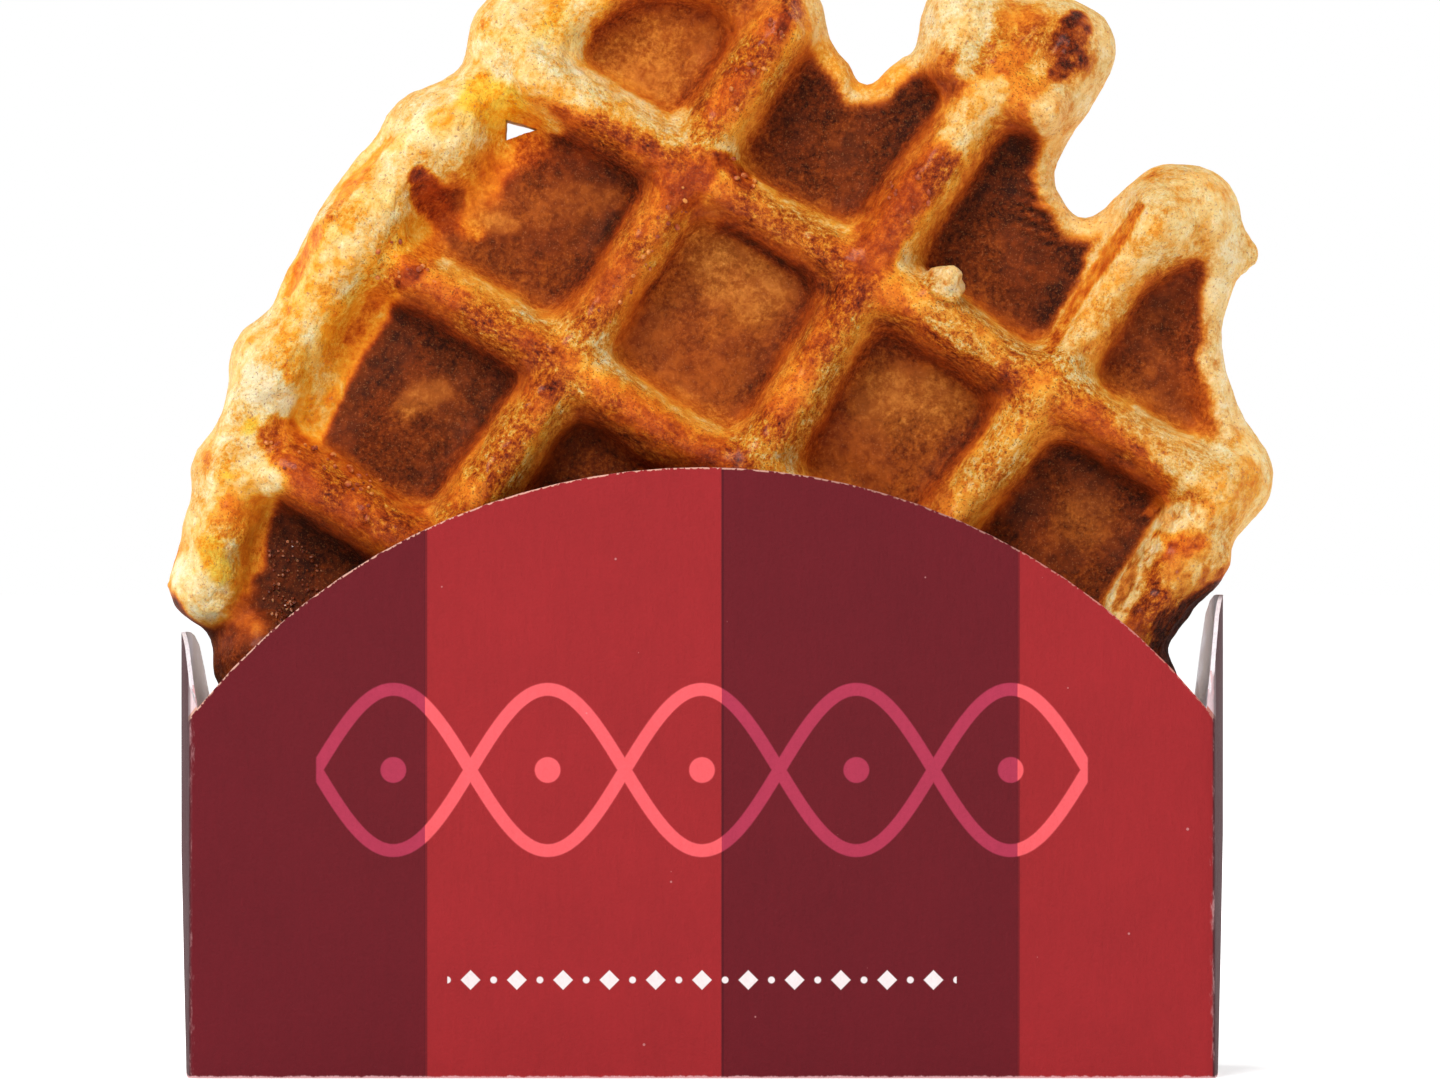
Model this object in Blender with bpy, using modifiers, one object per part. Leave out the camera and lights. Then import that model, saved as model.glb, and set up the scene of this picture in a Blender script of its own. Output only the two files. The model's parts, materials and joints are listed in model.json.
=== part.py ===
# A thick round waffle with deep pockets on both faces, standing in a folded paperboard sleeve.
# The waffle is drawn flat first, with X to the right, Y up and its shown face towards +Z,
# and then stood up, so that its shown face looks along -Y. Every length is in millimetres
# until it is placed, and the scene is in metres.

import math

import bmesh
import bpy
from mathutils import Matrix, Vector, noise

MM = 0.001

# The sleeve: a folded pouch of printed board, open at the top.
SLEEVE_WIDTH = 120.0
SLEEVE_DEPTH = 28.0
BOARD_THICKNESS = 0.5
FOLD_RADIUS = 1.1
FOLD_STEPS = 3
DOME_CROWN = 71.3
DOME_RADIUS = 75.7
TAB_RISE_LEFT = 10.2
TAB_RISE_RIGHT = 14.6
TAB_SQUARENESS = 4.0
PANEL_BOW = 0.7
SIDE_BOW = 1.5
SIDE_BOW_AT_BASE = 0.55
BOW_HEIGHT = 24.0
DOME_COLUMNS = 28
SIDE_COLUMNS = 10
WALL_ROWS = 4

# The waffle iron's lattice: one crossing of the ridges, and the steps to its neighbours.
CROSSING = Vector((19.3, 94.4))
STEP_DOWN_RIGHT = Vector((20.9, -12.6))
STEP_UP_RIGHT = Vector((14.6, 23.1))

# The ridges stand proud of the thin pocket floors on both faces.
WAFFLE_THICKNESS = 22.0
FLOOR_THICKNESS = 5.6
CREST_WIDTH = 2.5
SHOULDER_WIDTH = 5.8
SHOULDER_SHARE = 0.86
RIDGE_ROOT_WIDTH = 10.0
RIDGE_POINT_SPACING = 3.5
RIDGE_WANDER = 1.4
WANDER_GRAIN = 22.0
RIDGE_SWELL = 0.18
SWELL_GRAIN = 17.0

# Each ridge is a line of the lattice: which line it is, and where it starts and ends along it.
DOWN_RIGHT_RIDGES = (
    (1, -0.30, 0.38),
    (0, -1.95, 2.02),
    (-1, -1.95, 2.28),
    (-2, -1.95, 2.45),
    (-3, -1.15, 1.40),
)
UP_RIGHT_RIDGES = (
    (-1, -3.0, 0.8),
    (0, -3.3, 1.14),
    (1, -3.2, 0.12),
    (2, -2.6, 0.0),
)

# The pocket floors are one thin plate: a large round, and small ones where the batter ran further.
FLOOR_ROUNDS = (
    (1.0, 66.0, 55.5),
    (51.0, 86.0, 10.0),
    (-4.0, 116.0, 13.0),
    (-20.0, 112.0, 9.0),
    (34.2, 104.6, 6.4),
    (13.2, 116.6, 4.6),
    (26.0, 116.4, 4.4),
)

# Rolled edges: width, thickness, and the places that each passes with its fullness there.
RIM_STATIONS = (
    (-25.5, 116.5, 0.95),
    (-37.4, 104.2, 1.26),
    (-45.8, 90.4, 1.1),
    (-53.2, 76.6, 1.02),
    (-56.9, 64.5, 0.96),
    (-58.3, 58.8, 0.9),
)
CROWN_STATIONS = ((-20.0, 123.0, 1.0), (-7.0, 128.8, 1.0), (8.0, 128.2, 1.0))
BROW_STATIONS = ((61.8, 75.0, 1.1), (58.6, 87.0, 1.0), (61.2, 99.0, 1.1))
NOTCH_STATIONS = (
    (12.8, 122.6, 1.1),
    (15.6, 117.8, 1.0),
    (19.4, 113.9, 0.9),
    (23.4, 116.9, 1.0),
    (27.2, 121.4, 1.1),
)
BITE_STATIONS = (
    (42.0, 112.6, 1.2),
    (39.4, 106.6, 1.0),
    (41.0, 101.6, 0.95),
    (45.6, 99.6, 0.95),
    (50.8, 102.6, 1.1),
)
LOBE_RIDGE_STATIONS = (
    (40.2, 81.8, 0.82),
    (45.8, 88.6, 0.96),
    (49.6, 94.4, 1.1),
    (53.4, 99.6, 1.24),
    (57.0, 102.2, 1.2),
)
EDGES = {
    "rim": (8.8, 17.5, RIM_STATIONS),
    "crown": (6.6, 17.5, CROWN_STATIONS),
    "brow": (4.8, 11.0, BROW_STATIONS),
    "notch_lip": (3.4, 8.6, NOTCH_STATIONS),
    "bite_lip": (3.4, 8.2, BITE_STATIONS),
    "lobe_ridge": (8.0, 20.0, LOBE_RIDGE_STATIONS),
}
OVAL_SIDES = 16
EDGE_POINTS = 19
EDGE_WAVE_LENGTH = 19.0
EDGE_WAVE_SHARE = 0.09

# Round swellings: place, radius and half thickness, where ridges run out and the batter bulged.
SWELLINGS = {
    "upper_left": (-20.6, 122.2, 7.5, 9.0),
    "rim_shoulder": (-31.0, 110.0, 7.2, 9.2),
    "rim_elbow": (-50.2, 84.4, 5.6, 9.0),
    "rim_knee": (-55.3, 71.8, 5.5, 9.2),
    "rim_foot": (-58.0, 58.2, 5.1, 8.2),
    "top_lobe": (8.3, 125.6, 6.4, 9.6),
    "crossing_lobe_left": (31.6, 124.4, 6.0, 9.6),
    "crossing_lobe_right": (40.8, 119.8, 8.3, 9.8),
    "upper_right_lobe": (57.2, 101.6, 6.6, 9.4),
    "lobe_tip": (64.6, 97.2, 2.0, 2.2),
    "right_lobe": (61.4, 71.0, 6.5, 9.0),
    "lower_right_end": (51.4, 47.0, 5.4, 8.6),
    "base_right_end": (41.0, 19.0, 5.6, 8.6),
    "base_middle_right_end": (21.4, 8.1, 6.4, 9.0),
    "base_middle_end": (4.6, 8.8, 6.0, 8.6),
    "base_middle_left_end": (-9.0, 7.8, 6.2, 9.0),
    "base_left_end": (-31.0, 18.6, 5.8, 8.8),
    "lower_left_bulge": (-51.4, 49.4, 6.7, 8.8),
    "lower_left_end": (-50.4, 42.6, 6.6, 8.8),
}

# The flap of batter that folded back on itself at the lower right: beads of dough in two rows.
FLAP_LOW = Vector((51.2, 53.8))
FLAP_HIGH = Vector((57.4, 63.2))
FLAP_RADIUS = 4.5
FLAP_HALF_DEPTH = 5.9
FLAP_ROWS = (6.0, -1.0)
FLAP_BEADS = 4

# The lump of pearl sugar on a ridge: place, height over the middle, and radius.
SUGAR_LUMP = (28.5, 94.1, 10.4, 2.5)

# The small gap between the rim and the pocket beside it, right through the floor.
GAP_PLACE = (-22.2, 111.3)
GAP_RADIUS = 1.7
GAP_SPREAD = 1.3
GAP_SIDES = 3

# How the joined shapes are melted into one body of dough.
MELT_VOXEL = 0.85
MELT_ROUNDS = 9
CRUST_ROUGHNESS = 1.1
CRUST_GRAIN = 7.5
JOIN_DISTANCE = 0.01
WAFFLE_TRIANGLES = 11400
FLOOR_CLEARANCE = 0.35


def clear_scene():
    for old in list(bpy.data.objects):
        bpy.data.objects.remove(old)


def new_collection(name):
    made = bpy.data.collections.new(name)
    bpy.context.scene.collection.children.link(made)
    return made


def plain_material(name, colour, roughness):
    material = bpy.data.materials.new(name)
    material.use_nodes = True
    shader = material.node_tree.nodes["Principled BSDF"]
    shader.inputs["Base Color"].default_value = (*colour, 1.0)
    shader.inputs["Roughness"].default_value = roughness
    shader.inputs["Metallic"].default_value = 0.0
    return material


def link_object(name, data, collection):
    made = bpy.data.objects.new(name, data)
    collection.objects.link(made)
    return made


def lattice_point(along_down_right, along_up_right):
    return CROSSING + along_down_right * STEP_DOWN_RIGHT + along_up_right * STEP_UP_RIGHT


def smooth_path(stations, count):
    """Points evenly along the soft curve that passes every station."""
    ends = [Vector(s) for s in stations]
    ends = [2 * ends[0] - ends[1], *ends, 2 * ends[-1] - ends[-2]]
    spans = len(stations) - 1
    points = []
    for k in range(count):
        whole = k * spans / (count - 1)
        span = min(int(whole), spans - 1)
        t = whole - span
        before, start, end, after = ends[span : span + 4]
        bend = t * (end - before) + t**2 * (2 * before - 5 * start + 4 * end - after)
        points.append(start + 0.5 * (bend + t**3 * (3 * start - before - 3 * end + after)))
    return points


def ridge_points(start, end):
    """Points along a ridge, which wanders a little to each side as baked batter does."""
    run = end - start
    across = Vector((-run.y, run.x)).normalized()
    count = max(3, round(run.length / RIDGE_POINT_SPACING) + 1)
    points = []
    for k in range(count):
        place = start + run * (k / (count - 1))
        sway = noise.noise(Vector((*(place / WANDER_GRAIN), 3.1)))
        points.append(place + across * (RIDGE_WANDER * sway))
    return points


def ridge_swell(place):
    """How much fuller or leaner than usual a ridge is at a place."""
    return 1.0 + RIDGE_SWELL * noise.noise(Vector((*(place / SWELL_GRAIN), 8.4)))


def add_profile(name, corners, helpers):
    """A closed outline that a curve carries along itself."""
    data = bpy.data.curves.new(name, "CURVE")
    data.dimensions = "2D"
    outline = data.splines.new("POLY")
    outline.points.add(len(corners) - 1)
    for point, (x, y) in zip(outline.points, corners):
        point.co = (x * MM, y * MM, 0.0, 1.0)
    outline.use_cyclic_u = True
    profile = link_object(name, data, helpers)
    profile.hide_render = True
    return profile


def ridge_profile(helpers):
    """Half of the ridge stands to each face: a wide root, drafted walls and a rounded crest."""
    top = WAFFLE_THICKNESS / 2
    steps = (
        (RIDGE_ROOT_WIDTH / 2, 0.0),
        (SHOULDER_WIDTH / 2, SHOULDER_SHARE * top),
        (CREST_WIDTH / 2, top),
    )
    corners = [*steps, *((-x, y) for x, y in reversed(steps))]
    corners += [(x, -y) for x, y in reversed(corners) if y > 0.0]
    return add_profile("ridge_profile", corners, helpers)


def oval_profile(name, width, thickness, helpers):
    corners = []
    for k in range(OVAL_SIDES):
        angle = 2 * math.pi * k / OVAL_SIDES
        corners.append((width / 2 * math.cos(angle), thickness / 2 * math.sin(angle)))
    return add_profile(name, corners, helpers)


def add_sweep(name, profile, runs, helpers):
    """One curve object that carries the profile along every run of (place, size) pairs."""
    data = bpy.data.curves.new(name, "CURVE")
    data.dimensions = "3D"
    data.twist_mode = "Z_UP"
    data.bevel_mode = "OBJECT"
    data.bevel_object = profile
    data.use_fill_caps = True
    for run in runs:
        spline = data.splines.new("POLY")
        spline.points.add(len(run) - 1)
        for point, (place, size) in zip(spline.points, run):
            point.co = (place.x * MM, place.y * MM, 0.0, 1.0)
            point.radius = size
    sweep = link_object(name, data, helpers)
    sweep.hide_render = True
    return sweep


def add_ridges(helpers):
    runs = []
    lines = []
    for line, first, last in DOWN_RIGHT_RIDGES:
        lines.append((lattice_point(first, line), lattice_point(last, line)))
    for line, first, last in UP_RIGHT_RIDGES:
        lines.append((lattice_point(line, first), lattice_point(line, last)))
    for start, end in lines:
        runs.append([(place, ridge_swell(place)) for place in ridge_points(start, end)])
    return add_sweep("ridges", ridge_profile(helpers), runs, helpers)


def add_edges(helpers):
    """The rolled edges, which swell and shrink along their length."""
    made = []
    for name, (width, thickness, stations) in EDGES.items():
        profile = oval_profile(f"{name}_profile", width, thickness, helpers)
        run = []
        travelled = 0.0
        last = None
        for place in smooth_path(stations, EDGE_POINTS):
            travelled += (place.xy - last.xy).length if last else 0.0
            wave = math.sin(2 * math.pi * travelled / EDGE_WAVE_LENGTH)
            run.append((place, place.z * (1.0 + EDGE_WAVE_SHARE * wave)))
            last = place
        made.append(add_sweep(name, profile, [run], helpers))
    return made


def add_round(name, place, half_size, helpers):
    """A ball of dough, flattened or stretched to its half sizes."""
    mesh = bpy.data.meshes.new(name)
    body = bmesh.new()
    size = Matrix.Diagonal((*(Vector(half_size) * MM), 1.0))
    spot = Matrix.Translation(Vector(place) * MM)
    bmesh.ops.create_uvsphere(body, u_segments=24, v_segments=14, radius=1.0, matrix=spot @ size)
    body.to_mesh(mesh)
    body.free()
    return link_object(name, mesh, helpers)


def add_floor(name, x, y, radius, helpers):
    mesh = bpy.data.meshes.new(name)
    body = bmesh.new()
    bmesh.ops.create_cone(
        body,
        cap_ends=True,
        segments=72,
        radius1=radius * MM,
        radius2=radius * MM,
        depth=FLOOR_THICKNESS * MM,
        matrix=Matrix.Translation((x * MM, y * MM, 0.0)),
    )
    body.to_mesh(mesh)
    body.free()
    return link_object(name, mesh, helpers)


def add_flap(helpers):
    beads = []
    half_size = (FLAP_RADIUS, FLAP_RADIUS, FLAP_HALF_DEPTH)
    for row in FLAP_ROWS:
        for k in range(FLAP_BEADS):
            place = FLAP_LOW.lerp(FLAP_HIGH, k / (FLAP_BEADS - 1))
            beads.append(add_round("flap", (*place, row), half_size, helpers))
    return beads


def dough_pieces(helpers):
    pieces = [add_ridges(helpers), *add_edges(helpers), *add_flap(helpers)]
    for k, (x, y, radius) in enumerate(FLOOR_ROUNDS):
        pieces.append(add_floor(f"floor_{k}", x, y, radius, helpers))
    for name, (x, y, radius, half_thickness) in SWELLINGS.items():
        pieces.append(add_round(name, (x, y, 0.0), (radius, radius, half_thickness), helpers))
    x, y, front, radius = SUGAR_LUMP
    pieces.append(add_round("sugar_lump", (x, y, front), (radius, radius, radius), helpers))
    return pieces


def joined_mesh(name, pieces):
    """One mesh with the evaluated shape of every piece, in the waffle's flat frame."""
    graph = bpy.context.evaluated_depsgraph_get()
    body = bmesh.new()
    for piece in pieces:
        shape = bpy.data.meshes.new_from_object(piece.evaluated_get(graph))
        shape.transform(piece.matrix_world)
        body.from_mesh(shape)
        bpy.data.meshes.remove(shape)
    bmesh.ops.remove_doubles(body, verts=body.verts, dist=JOIN_DISTANCE * MM)
    bmesh.ops.recalc_face_normals(body, faces=body.faces)
    mesh = bpy.data.meshes.new(name)
    body.to_mesh(mesh)
    body.free()
    return mesh


def add_gap_cutter(helpers):
    """A three-sided tapered pin, wider at the front, that opens the gap beside the rim."""
    mesh = bpy.data.meshes.new("gap_cutter")
    body = bmesh.new()
    spot = Matrix.Translation((GAP_PLACE[0] * MM, GAP_PLACE[1] * MM, 0.0))
    turn = Matrix.Rotation(-math.pi / 2, 4, "Z")
    bmesh.ops.create_cone(
        body,
        cap_ends=True,
        segments=GAP_SIDES,
        radius1=GAP_RADIUS * MM,
        radius2=GAP_RADIUS * GAP_SPREAD * MM,
        depth=WAFFLE_THICKNESS * MM,
        matrix=spot @ turn,
    )
    body.to_mesh(mesh)
    body.free()
    cutter = link_object("gap_cutter", mesh, helpers)
    cutter.hide_render = True
    cutter.display_type = "WIRE"
    return cutter


def melt_into_dough(mesh):
    """The joined shapes as one smooth closed surface, with the crust's slow unevenness."""
    scratch = link_object("dough", mesh, bpy.context.scene.collection)
    melt = scratch.modifiers.new("melt", "REMESH")
    melt.mode = "VOXEL"
    melt.voxel_size = MELT_VOXEL * MM
    soften = scratch.modifiers.new("soften", "SMOOTH")
    soften.factor = 0.5
    soften.iterations = MELT_ROUNDS
    lumps = bpy.data.textures.new("crust_lumps", "CLOUDS")
    lumps.noise_scale = CRUST_GRAIN * MM
    lumps.noise_depth = 1
    rough = scratch.modifiers.new("rough", "DISPLACE")
    rough.texture = lumps
    rough.strength = CRUST_ROUGHNESS * MM
    rough.mid_level = 0.5
    graph = bpy.context.evaluated_depsgraph_get()
    melted = bpy.data.meshes.new_from_object(scratch.evaluated_get(graph))
    bpy.data.objects.remove(scratch)
    return melted


def make_waffle(collection, helpers):
    pieces = dough_pieces(helpers)
    melted = melt_into_dough(joined_mesh("dough_pieces", pieces))
    for piece in pieces:
        bpy.data.objects.remove(piece)
    melted.name = "waffle"
    melted.shade_smooth()
    melted.materials.clear()
    melted.materials.append(plain_material("waffle_crust", (0.42, 0.17, 0.04), 0.5))
    melted.calc_loop_triangles()
    waffle = link_object("waffle", melted, collection)
    thin_out = waffle.modifiers.new("thin_out", "DECIMATE")
    thin_out.ratio = WAFFLE_TRIANGLES / len(melted.loop_triangles)
    thin_out.use_collapse_triangulate = True
    gap = waffle.modifiers.new("gap", "BOOLEAN")
    gap.operation = "DIFFERENCE"
    gap.object = add_gap_cutter(helpers)
    lowest = min(vertex.co.y for vertex in melted.vertices)
    rest = (BOARD_THICKNESS + FLOOR_CLEARANCE) * MM - lowest
    stand_up(waffle, rest)
    stand_up(gap.object, rest)


def stand_up(piece, rise):
    """Turns a piece drawn flat so that its shown face looks along -Y, and lifts it."""
    piece.rotation_euler = (math.pi / 2, 0.0, 0.0)
    piece.location = (0.0, 0.0, rise)


def wall_top(x, y):
    """The height of the cut edge: the same dome front and back, and a tab on each side."""
    reach = min(abs(x), SLEEVE_WIDTH / 2)
    dome = DOME_CROWN - DOME_RADIUS + math.sqrt(DOME_RADIUS**2 - reach**2)
    depth = min(abs(y) / (SLEEVE_DEPTH / 2), 1.0)
    tab = TAB_RISE_RIGHT if x > 0 else TAB_RISE_LEFT
    return dome + tab * math.sqrt(1.0 - depth**TAB_SQUARENESS)


def plan_points():
    """The sleeve's outline from above, counter-clockwise from the front left fold."""
    half_width = SLEEVE_WIDTH / 2
    half_depth = SLEEVE_DEPTH / 2
    inner_width = half_width - FOLD_RADIUS
    inner_depth = half_depth - FOLD_RADIUS
    corners = (
        (inner_width, -inner_depth, -90.0),
        (inner_width, inner_depth, 0.0),
        (-inner_width, inner_depth, 90.0),
        (-inner_width, -inner_depth, 180.0),
    )
    panel_columns = (DOME_COLUMNS, SIDE_COLUMNS, DOME_COLUMNS, SIDE_COLUMNS)
    points = []
    for number, (x, y, start) in enumerate(corners):
        fold = []
        for k in range(FOLD_STEPS + 1):
            angle = math.radians(start + 90.0 * k / FOLD_STEPS)
            fold.append(Vector((x + FOLD_RADIUS * math.cos(angle), y + FOLD_RADIUS * math.sin(angle))))
        if points:
            points += panel_between(points[-1], fold[0], panel_columns[number])
        points += fold
    points += panel_between(points[-1], points[0], panel_columns[0])
    return points


def panel_between(start, end, columns):
    return [start.lerp(end, k / columns) for k in range(1, columns)]


def bowed(point, height):
    """A point of the outline, pushed outwards where the board springs between its folds."""
    share = min(1.0, height / BOW_HEIGHT)
    if abs(point.x) / SLEEVE_WIDTH > abs(point.y) / SLEEVE_DEPTH:
        along = min(1.0, abs(point.y) / (SLEEVE_DEPTH / 2 - FOLD_RADIUS))
        push = SIDE_BOW * (1.0 - along**2) * (SIDE_BOW_AT_BASE + (1.0 - SIDE_BOW_AT_BASE) * share)
        return Vector((point.x + math.copysign(push, point.x), point.y))
    across = min(1.0, abs(point.x) / (SLEEVE_WIDTH / 2 - FOLD_RADIUS))
    push = PANEL_BOW * (1.0 - across**2) * share
    return Vector((point.x, point.y + math.copysign(push, point.y)))


def make_sleeve(collection):
    """An open surface of walls and base, which Solidify makes as thick as the board."""
    body = bmesh.new()
    ring = [body.verts.new((p.x, p.y, 0.0)) for p in plan_points()]
    base = body.faces.new(reversed(ring))
    edges = list(base.edges)
    for _ in range(WALL_ROWS):
        raised = bmesh.ops.extrude_edge_only(body, edges=edges)["geom"]
        edges = [part for part in raised if isinstance(part, bmesh.types.BMEdge)]
        corners = [part for part in raised if isinstance(part, bmesh.types.BMVert)]
        bmesh.ops.translate(body, verts=corners, vec=(0.0, 0.0, 1.0))
    bmesh.ops.poke(body, faces=[base])
    for vertex in body.verts:
        height = wall_top(vertex.co.x, vertex.co.y) * vertex.co.z / WALL_ROWS
        place = bowed(vertex.co, height)
        vertex.co = (place.x * MM, place.y * MM, height * MM)
    bmesh.ops.recalc_face_normals(body, faces=body.faces)
    mesh = bpy.data.meshes.new("sleeve")
    body.to_mesh(mesh)
    body.free()
    mesh.shade_smooth()
    mesh.set_sharp_from_angle(angle=math.radians(50.0))
    mesh.materials.append(plain_material("printed_board", (0.35, 0.04, 0.045), 0.45))
    sleeve = link_object("sleeve", mesh, collection)
    board = sleeve.modifiers.new("board", "SOLIDIFY")
    board.thickness = BOARD_THICKNESS * MM
    board.offset = -1.0
    board.use_even_offset = True


clear_scene()
object_parts = new_collection("waffle_in_sleeve")
guides = new_collection("guides")
guides.hide_render = True
make_waffle(object_parts, guides)
make_sleeve(object_parts)
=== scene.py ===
import json
import math

import bpy
import numpy as np
from mathutils import Euler, Matrix, Vector, kdtree, noise

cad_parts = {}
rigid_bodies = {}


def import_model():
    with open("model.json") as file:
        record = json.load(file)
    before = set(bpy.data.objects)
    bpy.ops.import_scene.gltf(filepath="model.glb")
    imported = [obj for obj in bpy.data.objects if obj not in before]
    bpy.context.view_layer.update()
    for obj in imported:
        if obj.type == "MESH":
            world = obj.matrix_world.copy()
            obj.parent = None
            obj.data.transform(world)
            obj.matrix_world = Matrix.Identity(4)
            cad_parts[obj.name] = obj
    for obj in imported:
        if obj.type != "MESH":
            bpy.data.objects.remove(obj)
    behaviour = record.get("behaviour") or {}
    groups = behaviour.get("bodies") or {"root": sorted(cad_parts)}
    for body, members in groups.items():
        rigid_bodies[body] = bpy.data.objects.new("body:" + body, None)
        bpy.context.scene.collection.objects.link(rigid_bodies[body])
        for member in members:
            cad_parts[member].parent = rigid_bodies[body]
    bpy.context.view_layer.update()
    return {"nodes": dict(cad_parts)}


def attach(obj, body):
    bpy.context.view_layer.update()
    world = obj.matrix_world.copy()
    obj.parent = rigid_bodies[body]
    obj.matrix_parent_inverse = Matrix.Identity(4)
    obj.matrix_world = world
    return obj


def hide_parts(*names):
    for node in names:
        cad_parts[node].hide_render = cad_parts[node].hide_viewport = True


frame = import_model()
mm = 0.001


# Small tools that every piece uses.
def linearColour(red, green, blue):
    # a screen colour of 0 to 255, by the sRGB curve
    steps = [channel / 255.0 for channel in (red, green, blue)]
    return tuple(s / 12.92 if s <= 0.04045 else ((s + 0.055) / 1.055) ** 2.4 for s in steps) + (1.0,)


def deselectAll():
    for thing in bpy.context.view_layer.objects:
        thing.select_set(False)


def makeActive(piece):
    deselectAll()
    piece.select_set(True)
    bpy.context.view_layer.objects.active = piece


def applyModifier(piece, kind, **settings):
    makeActive(piece)
    modifier = piece.modifiers.new(kind.lower(), kind)
    for name, value in settings.items():
        setattr(modifier, name, value)
    bpy.ops.object.modifier_apply(modifier=modifier.name)


def copyOfNode(nodeName, pieceName):
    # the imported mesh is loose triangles, so the copy is merged into one surface
    mesh = frame["nodes"][nodeName].data.copy()
    mesh.materials.clear()
    piece = bpy.data.objects.new(pieceName, mesh)
    linkObject(piece)
    makeActive(piece)
    bpy.ops.mesh.customdata_custom_splitnormals_clear()
    setMode("EDIT")
    bpy.ops.mesh.select_all(action="SELECT")
    bpy.ops.mesh.remove_doubles(threshold=0.000002)
    setMode("OBJECT")
    return piece


def vectorsOf(items, name):
    values = np.empty(len(items) * 3)
    items.foreach_get(name, values)
    return values.reshape(-1, 3)


def movePoints(piece, places):
    piece.data.vertices.foreach_set("co", places.ravel())
    piece.data.update()


def storeValues(piece, name, values):
    layer = piece.data.attributes.new(name, "FLOAT", "POINT")
    layer.data.foreach_set("value", np.asarray(values, np.float32))


def rise(low, high, values):
    share = np.clip((values - low) / (high - low), 0.0, 1.0)
    return share * share * (3.0 - 2.0 * share)


def noiseAt(places, grain, seed):
    # soft noise from about -1 to 1 at every place, with lumps of the given size in millimetres
    scale = 1.0 / (grain * mm)
    return np.array([noise.noise(Vector((x * scale, y * scale, z * scale + seed))) for x, y, z in places])


def crustNoise(places, name):
    return noiseAt(places, *crustNoises[name])


# Shader nodes, laid down by short calls in the last of these trees.
openTrees = []


def addNode(kind, **settings):
    node = openTrees[-1].nodes.new(kind)
    for name, value in settings.items():
        setattr(node, name, value)
    return node


def feed(socket, value):
    if isinstance(value, bpy.types.NodeSocket):
        openTrees[-1].links.new(value, socket)
    else:
        socket.default_value = value


def sums(operation, first, second=0.0, third=0.0):
    node = addNode("ShaderNodeMath", operation=operation)
    for socket, value in zip(node.inputs, (first, second, third)):
        feed(socket, value)
    return node.outputs[0]


def times(first, second):
    return sums("MULTIPLY", first, second)


def timesPlus(first, second, third):
    return sums("MULTIPLY_ADD", first, second, third)


def minus(first, second):
    return sums("SUBTRACT", first, second)


def apart(first, second):
    return sums("ABSOLUTE", minus(first, second))


def lengthOf(across, along):
    return sums("SQRT", timesPlus(across, across, times(along, along)))


def isOver(value, limit):
    return sums("GREATER_THAN", value, limit)


def mapRange(value, low, high, newLow=0.0, newHigh=1.0, smooth=True):
    kind = "SMOOTHSTEP" if smooth else "LINEAR"
    node = addNode("ShaderNodeMapRange", interpolation_type=kind)
    for socket, given in zip(node.inputs, (value, low, high, newLow, newHigh)):
        feed(socket, given)
    return node.outputs[0]


def centred(noiseValue):
    # the middle range of a noise texture, spread from -1 to 1
    return mapRange(noiseValue, 0.3, 0.7, -1.0, 1.0, False)


def mixColours(share, first, second, blend="MIX"):
    # a colour is another node's output, or screen values of 0 to 255
    node = addNode("ShaderNodeMix", data_type="RGBA", blend_type=blend, clamp_factor=True)
    feed(node.inputs[0], share)
    for socket, colour in ((node.inputs[6], first), (node.inputs[7], second)):
        feed(socket, linearColour(*colour) if isinstance(colour, tuple) else colour)
    return node.outputs[2]


def objectPlace(scale=(1000.0, 1000.0, 1000.0), turn=(0.0, 0.0, 0.0)):
    # Object coordinates in millimetres, turned and stretched as asked
    coordinates = addNode("ShaderNodeTexCoord")
    turned = addNode("ShaderNodeVectorRotate", rotation_type="EULER_XYZ")
    feed(turned.inputs["Vector"], coordinates.outputs["Object"])
    feed(turned.inputs["Rotation"], turn)
    scaled = addNode("ShaderNodeVectorMath", operation="MULTIPLY")
    feed(scaled.inputs[0], turned.outputs[0])
    feed(scaled.inputs[1], scale)
    return scaled.outputs[0]


def noiseTexture(place, scale, detail=2.0, roughness=0.5, distortion=0.0):
    node = addNode("ShaderNodeTexNoise")
    given = {"Scale": scale, "Detail": detail, "Roughness": roughness, "Distortion": distortion}
    for socket, value in {"Vector": place, **given}.items():
        feed(node.inputs[socket], value)
    return node.outputs[0]


def colourRamp(value, stops):
    node = addNode("ShaderNodeValToRGB")
    ramp = node.color_ramp
    while len(ramp.elements) < len(stops):
        ramp.elements.new(1.0)
    for element, (position, colour) in zip(ramp.elements, stops):
        element.position = position
        element.color = linearColour(*colour)
    feed(node.inputs[0], value)
    return node.outputs[0]


def attributeValue(name):
    return addNode("ShaderNodeAttribute", attribute_name=name).outputs["Fac"]


def bump(height, distance):
    node = addNode("ShaderNodeBump")
    feed(node.inputs["Height"], height)
    feed(node.inputs["Distance"], distance)
    return node.outputs[0]


def newMaterial(name, constants):
    # the constants are set by their socket names
    material = bpy.data.materials.new(name)
    material.use_nodes = True
    shader = material.node_tree.nodes["Principled BSDF"]
    for socket, value in constants.items():
        shader.inputs[socket].default_value = value
    openTrees.append(material.node_tree)
    return material, shader


def linkObject(thing):
    bpy.context.scene.collection.objects.link(thing)


def setMode(mode):
    bpy.ops.object.mode_set(mode=mode)


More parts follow.
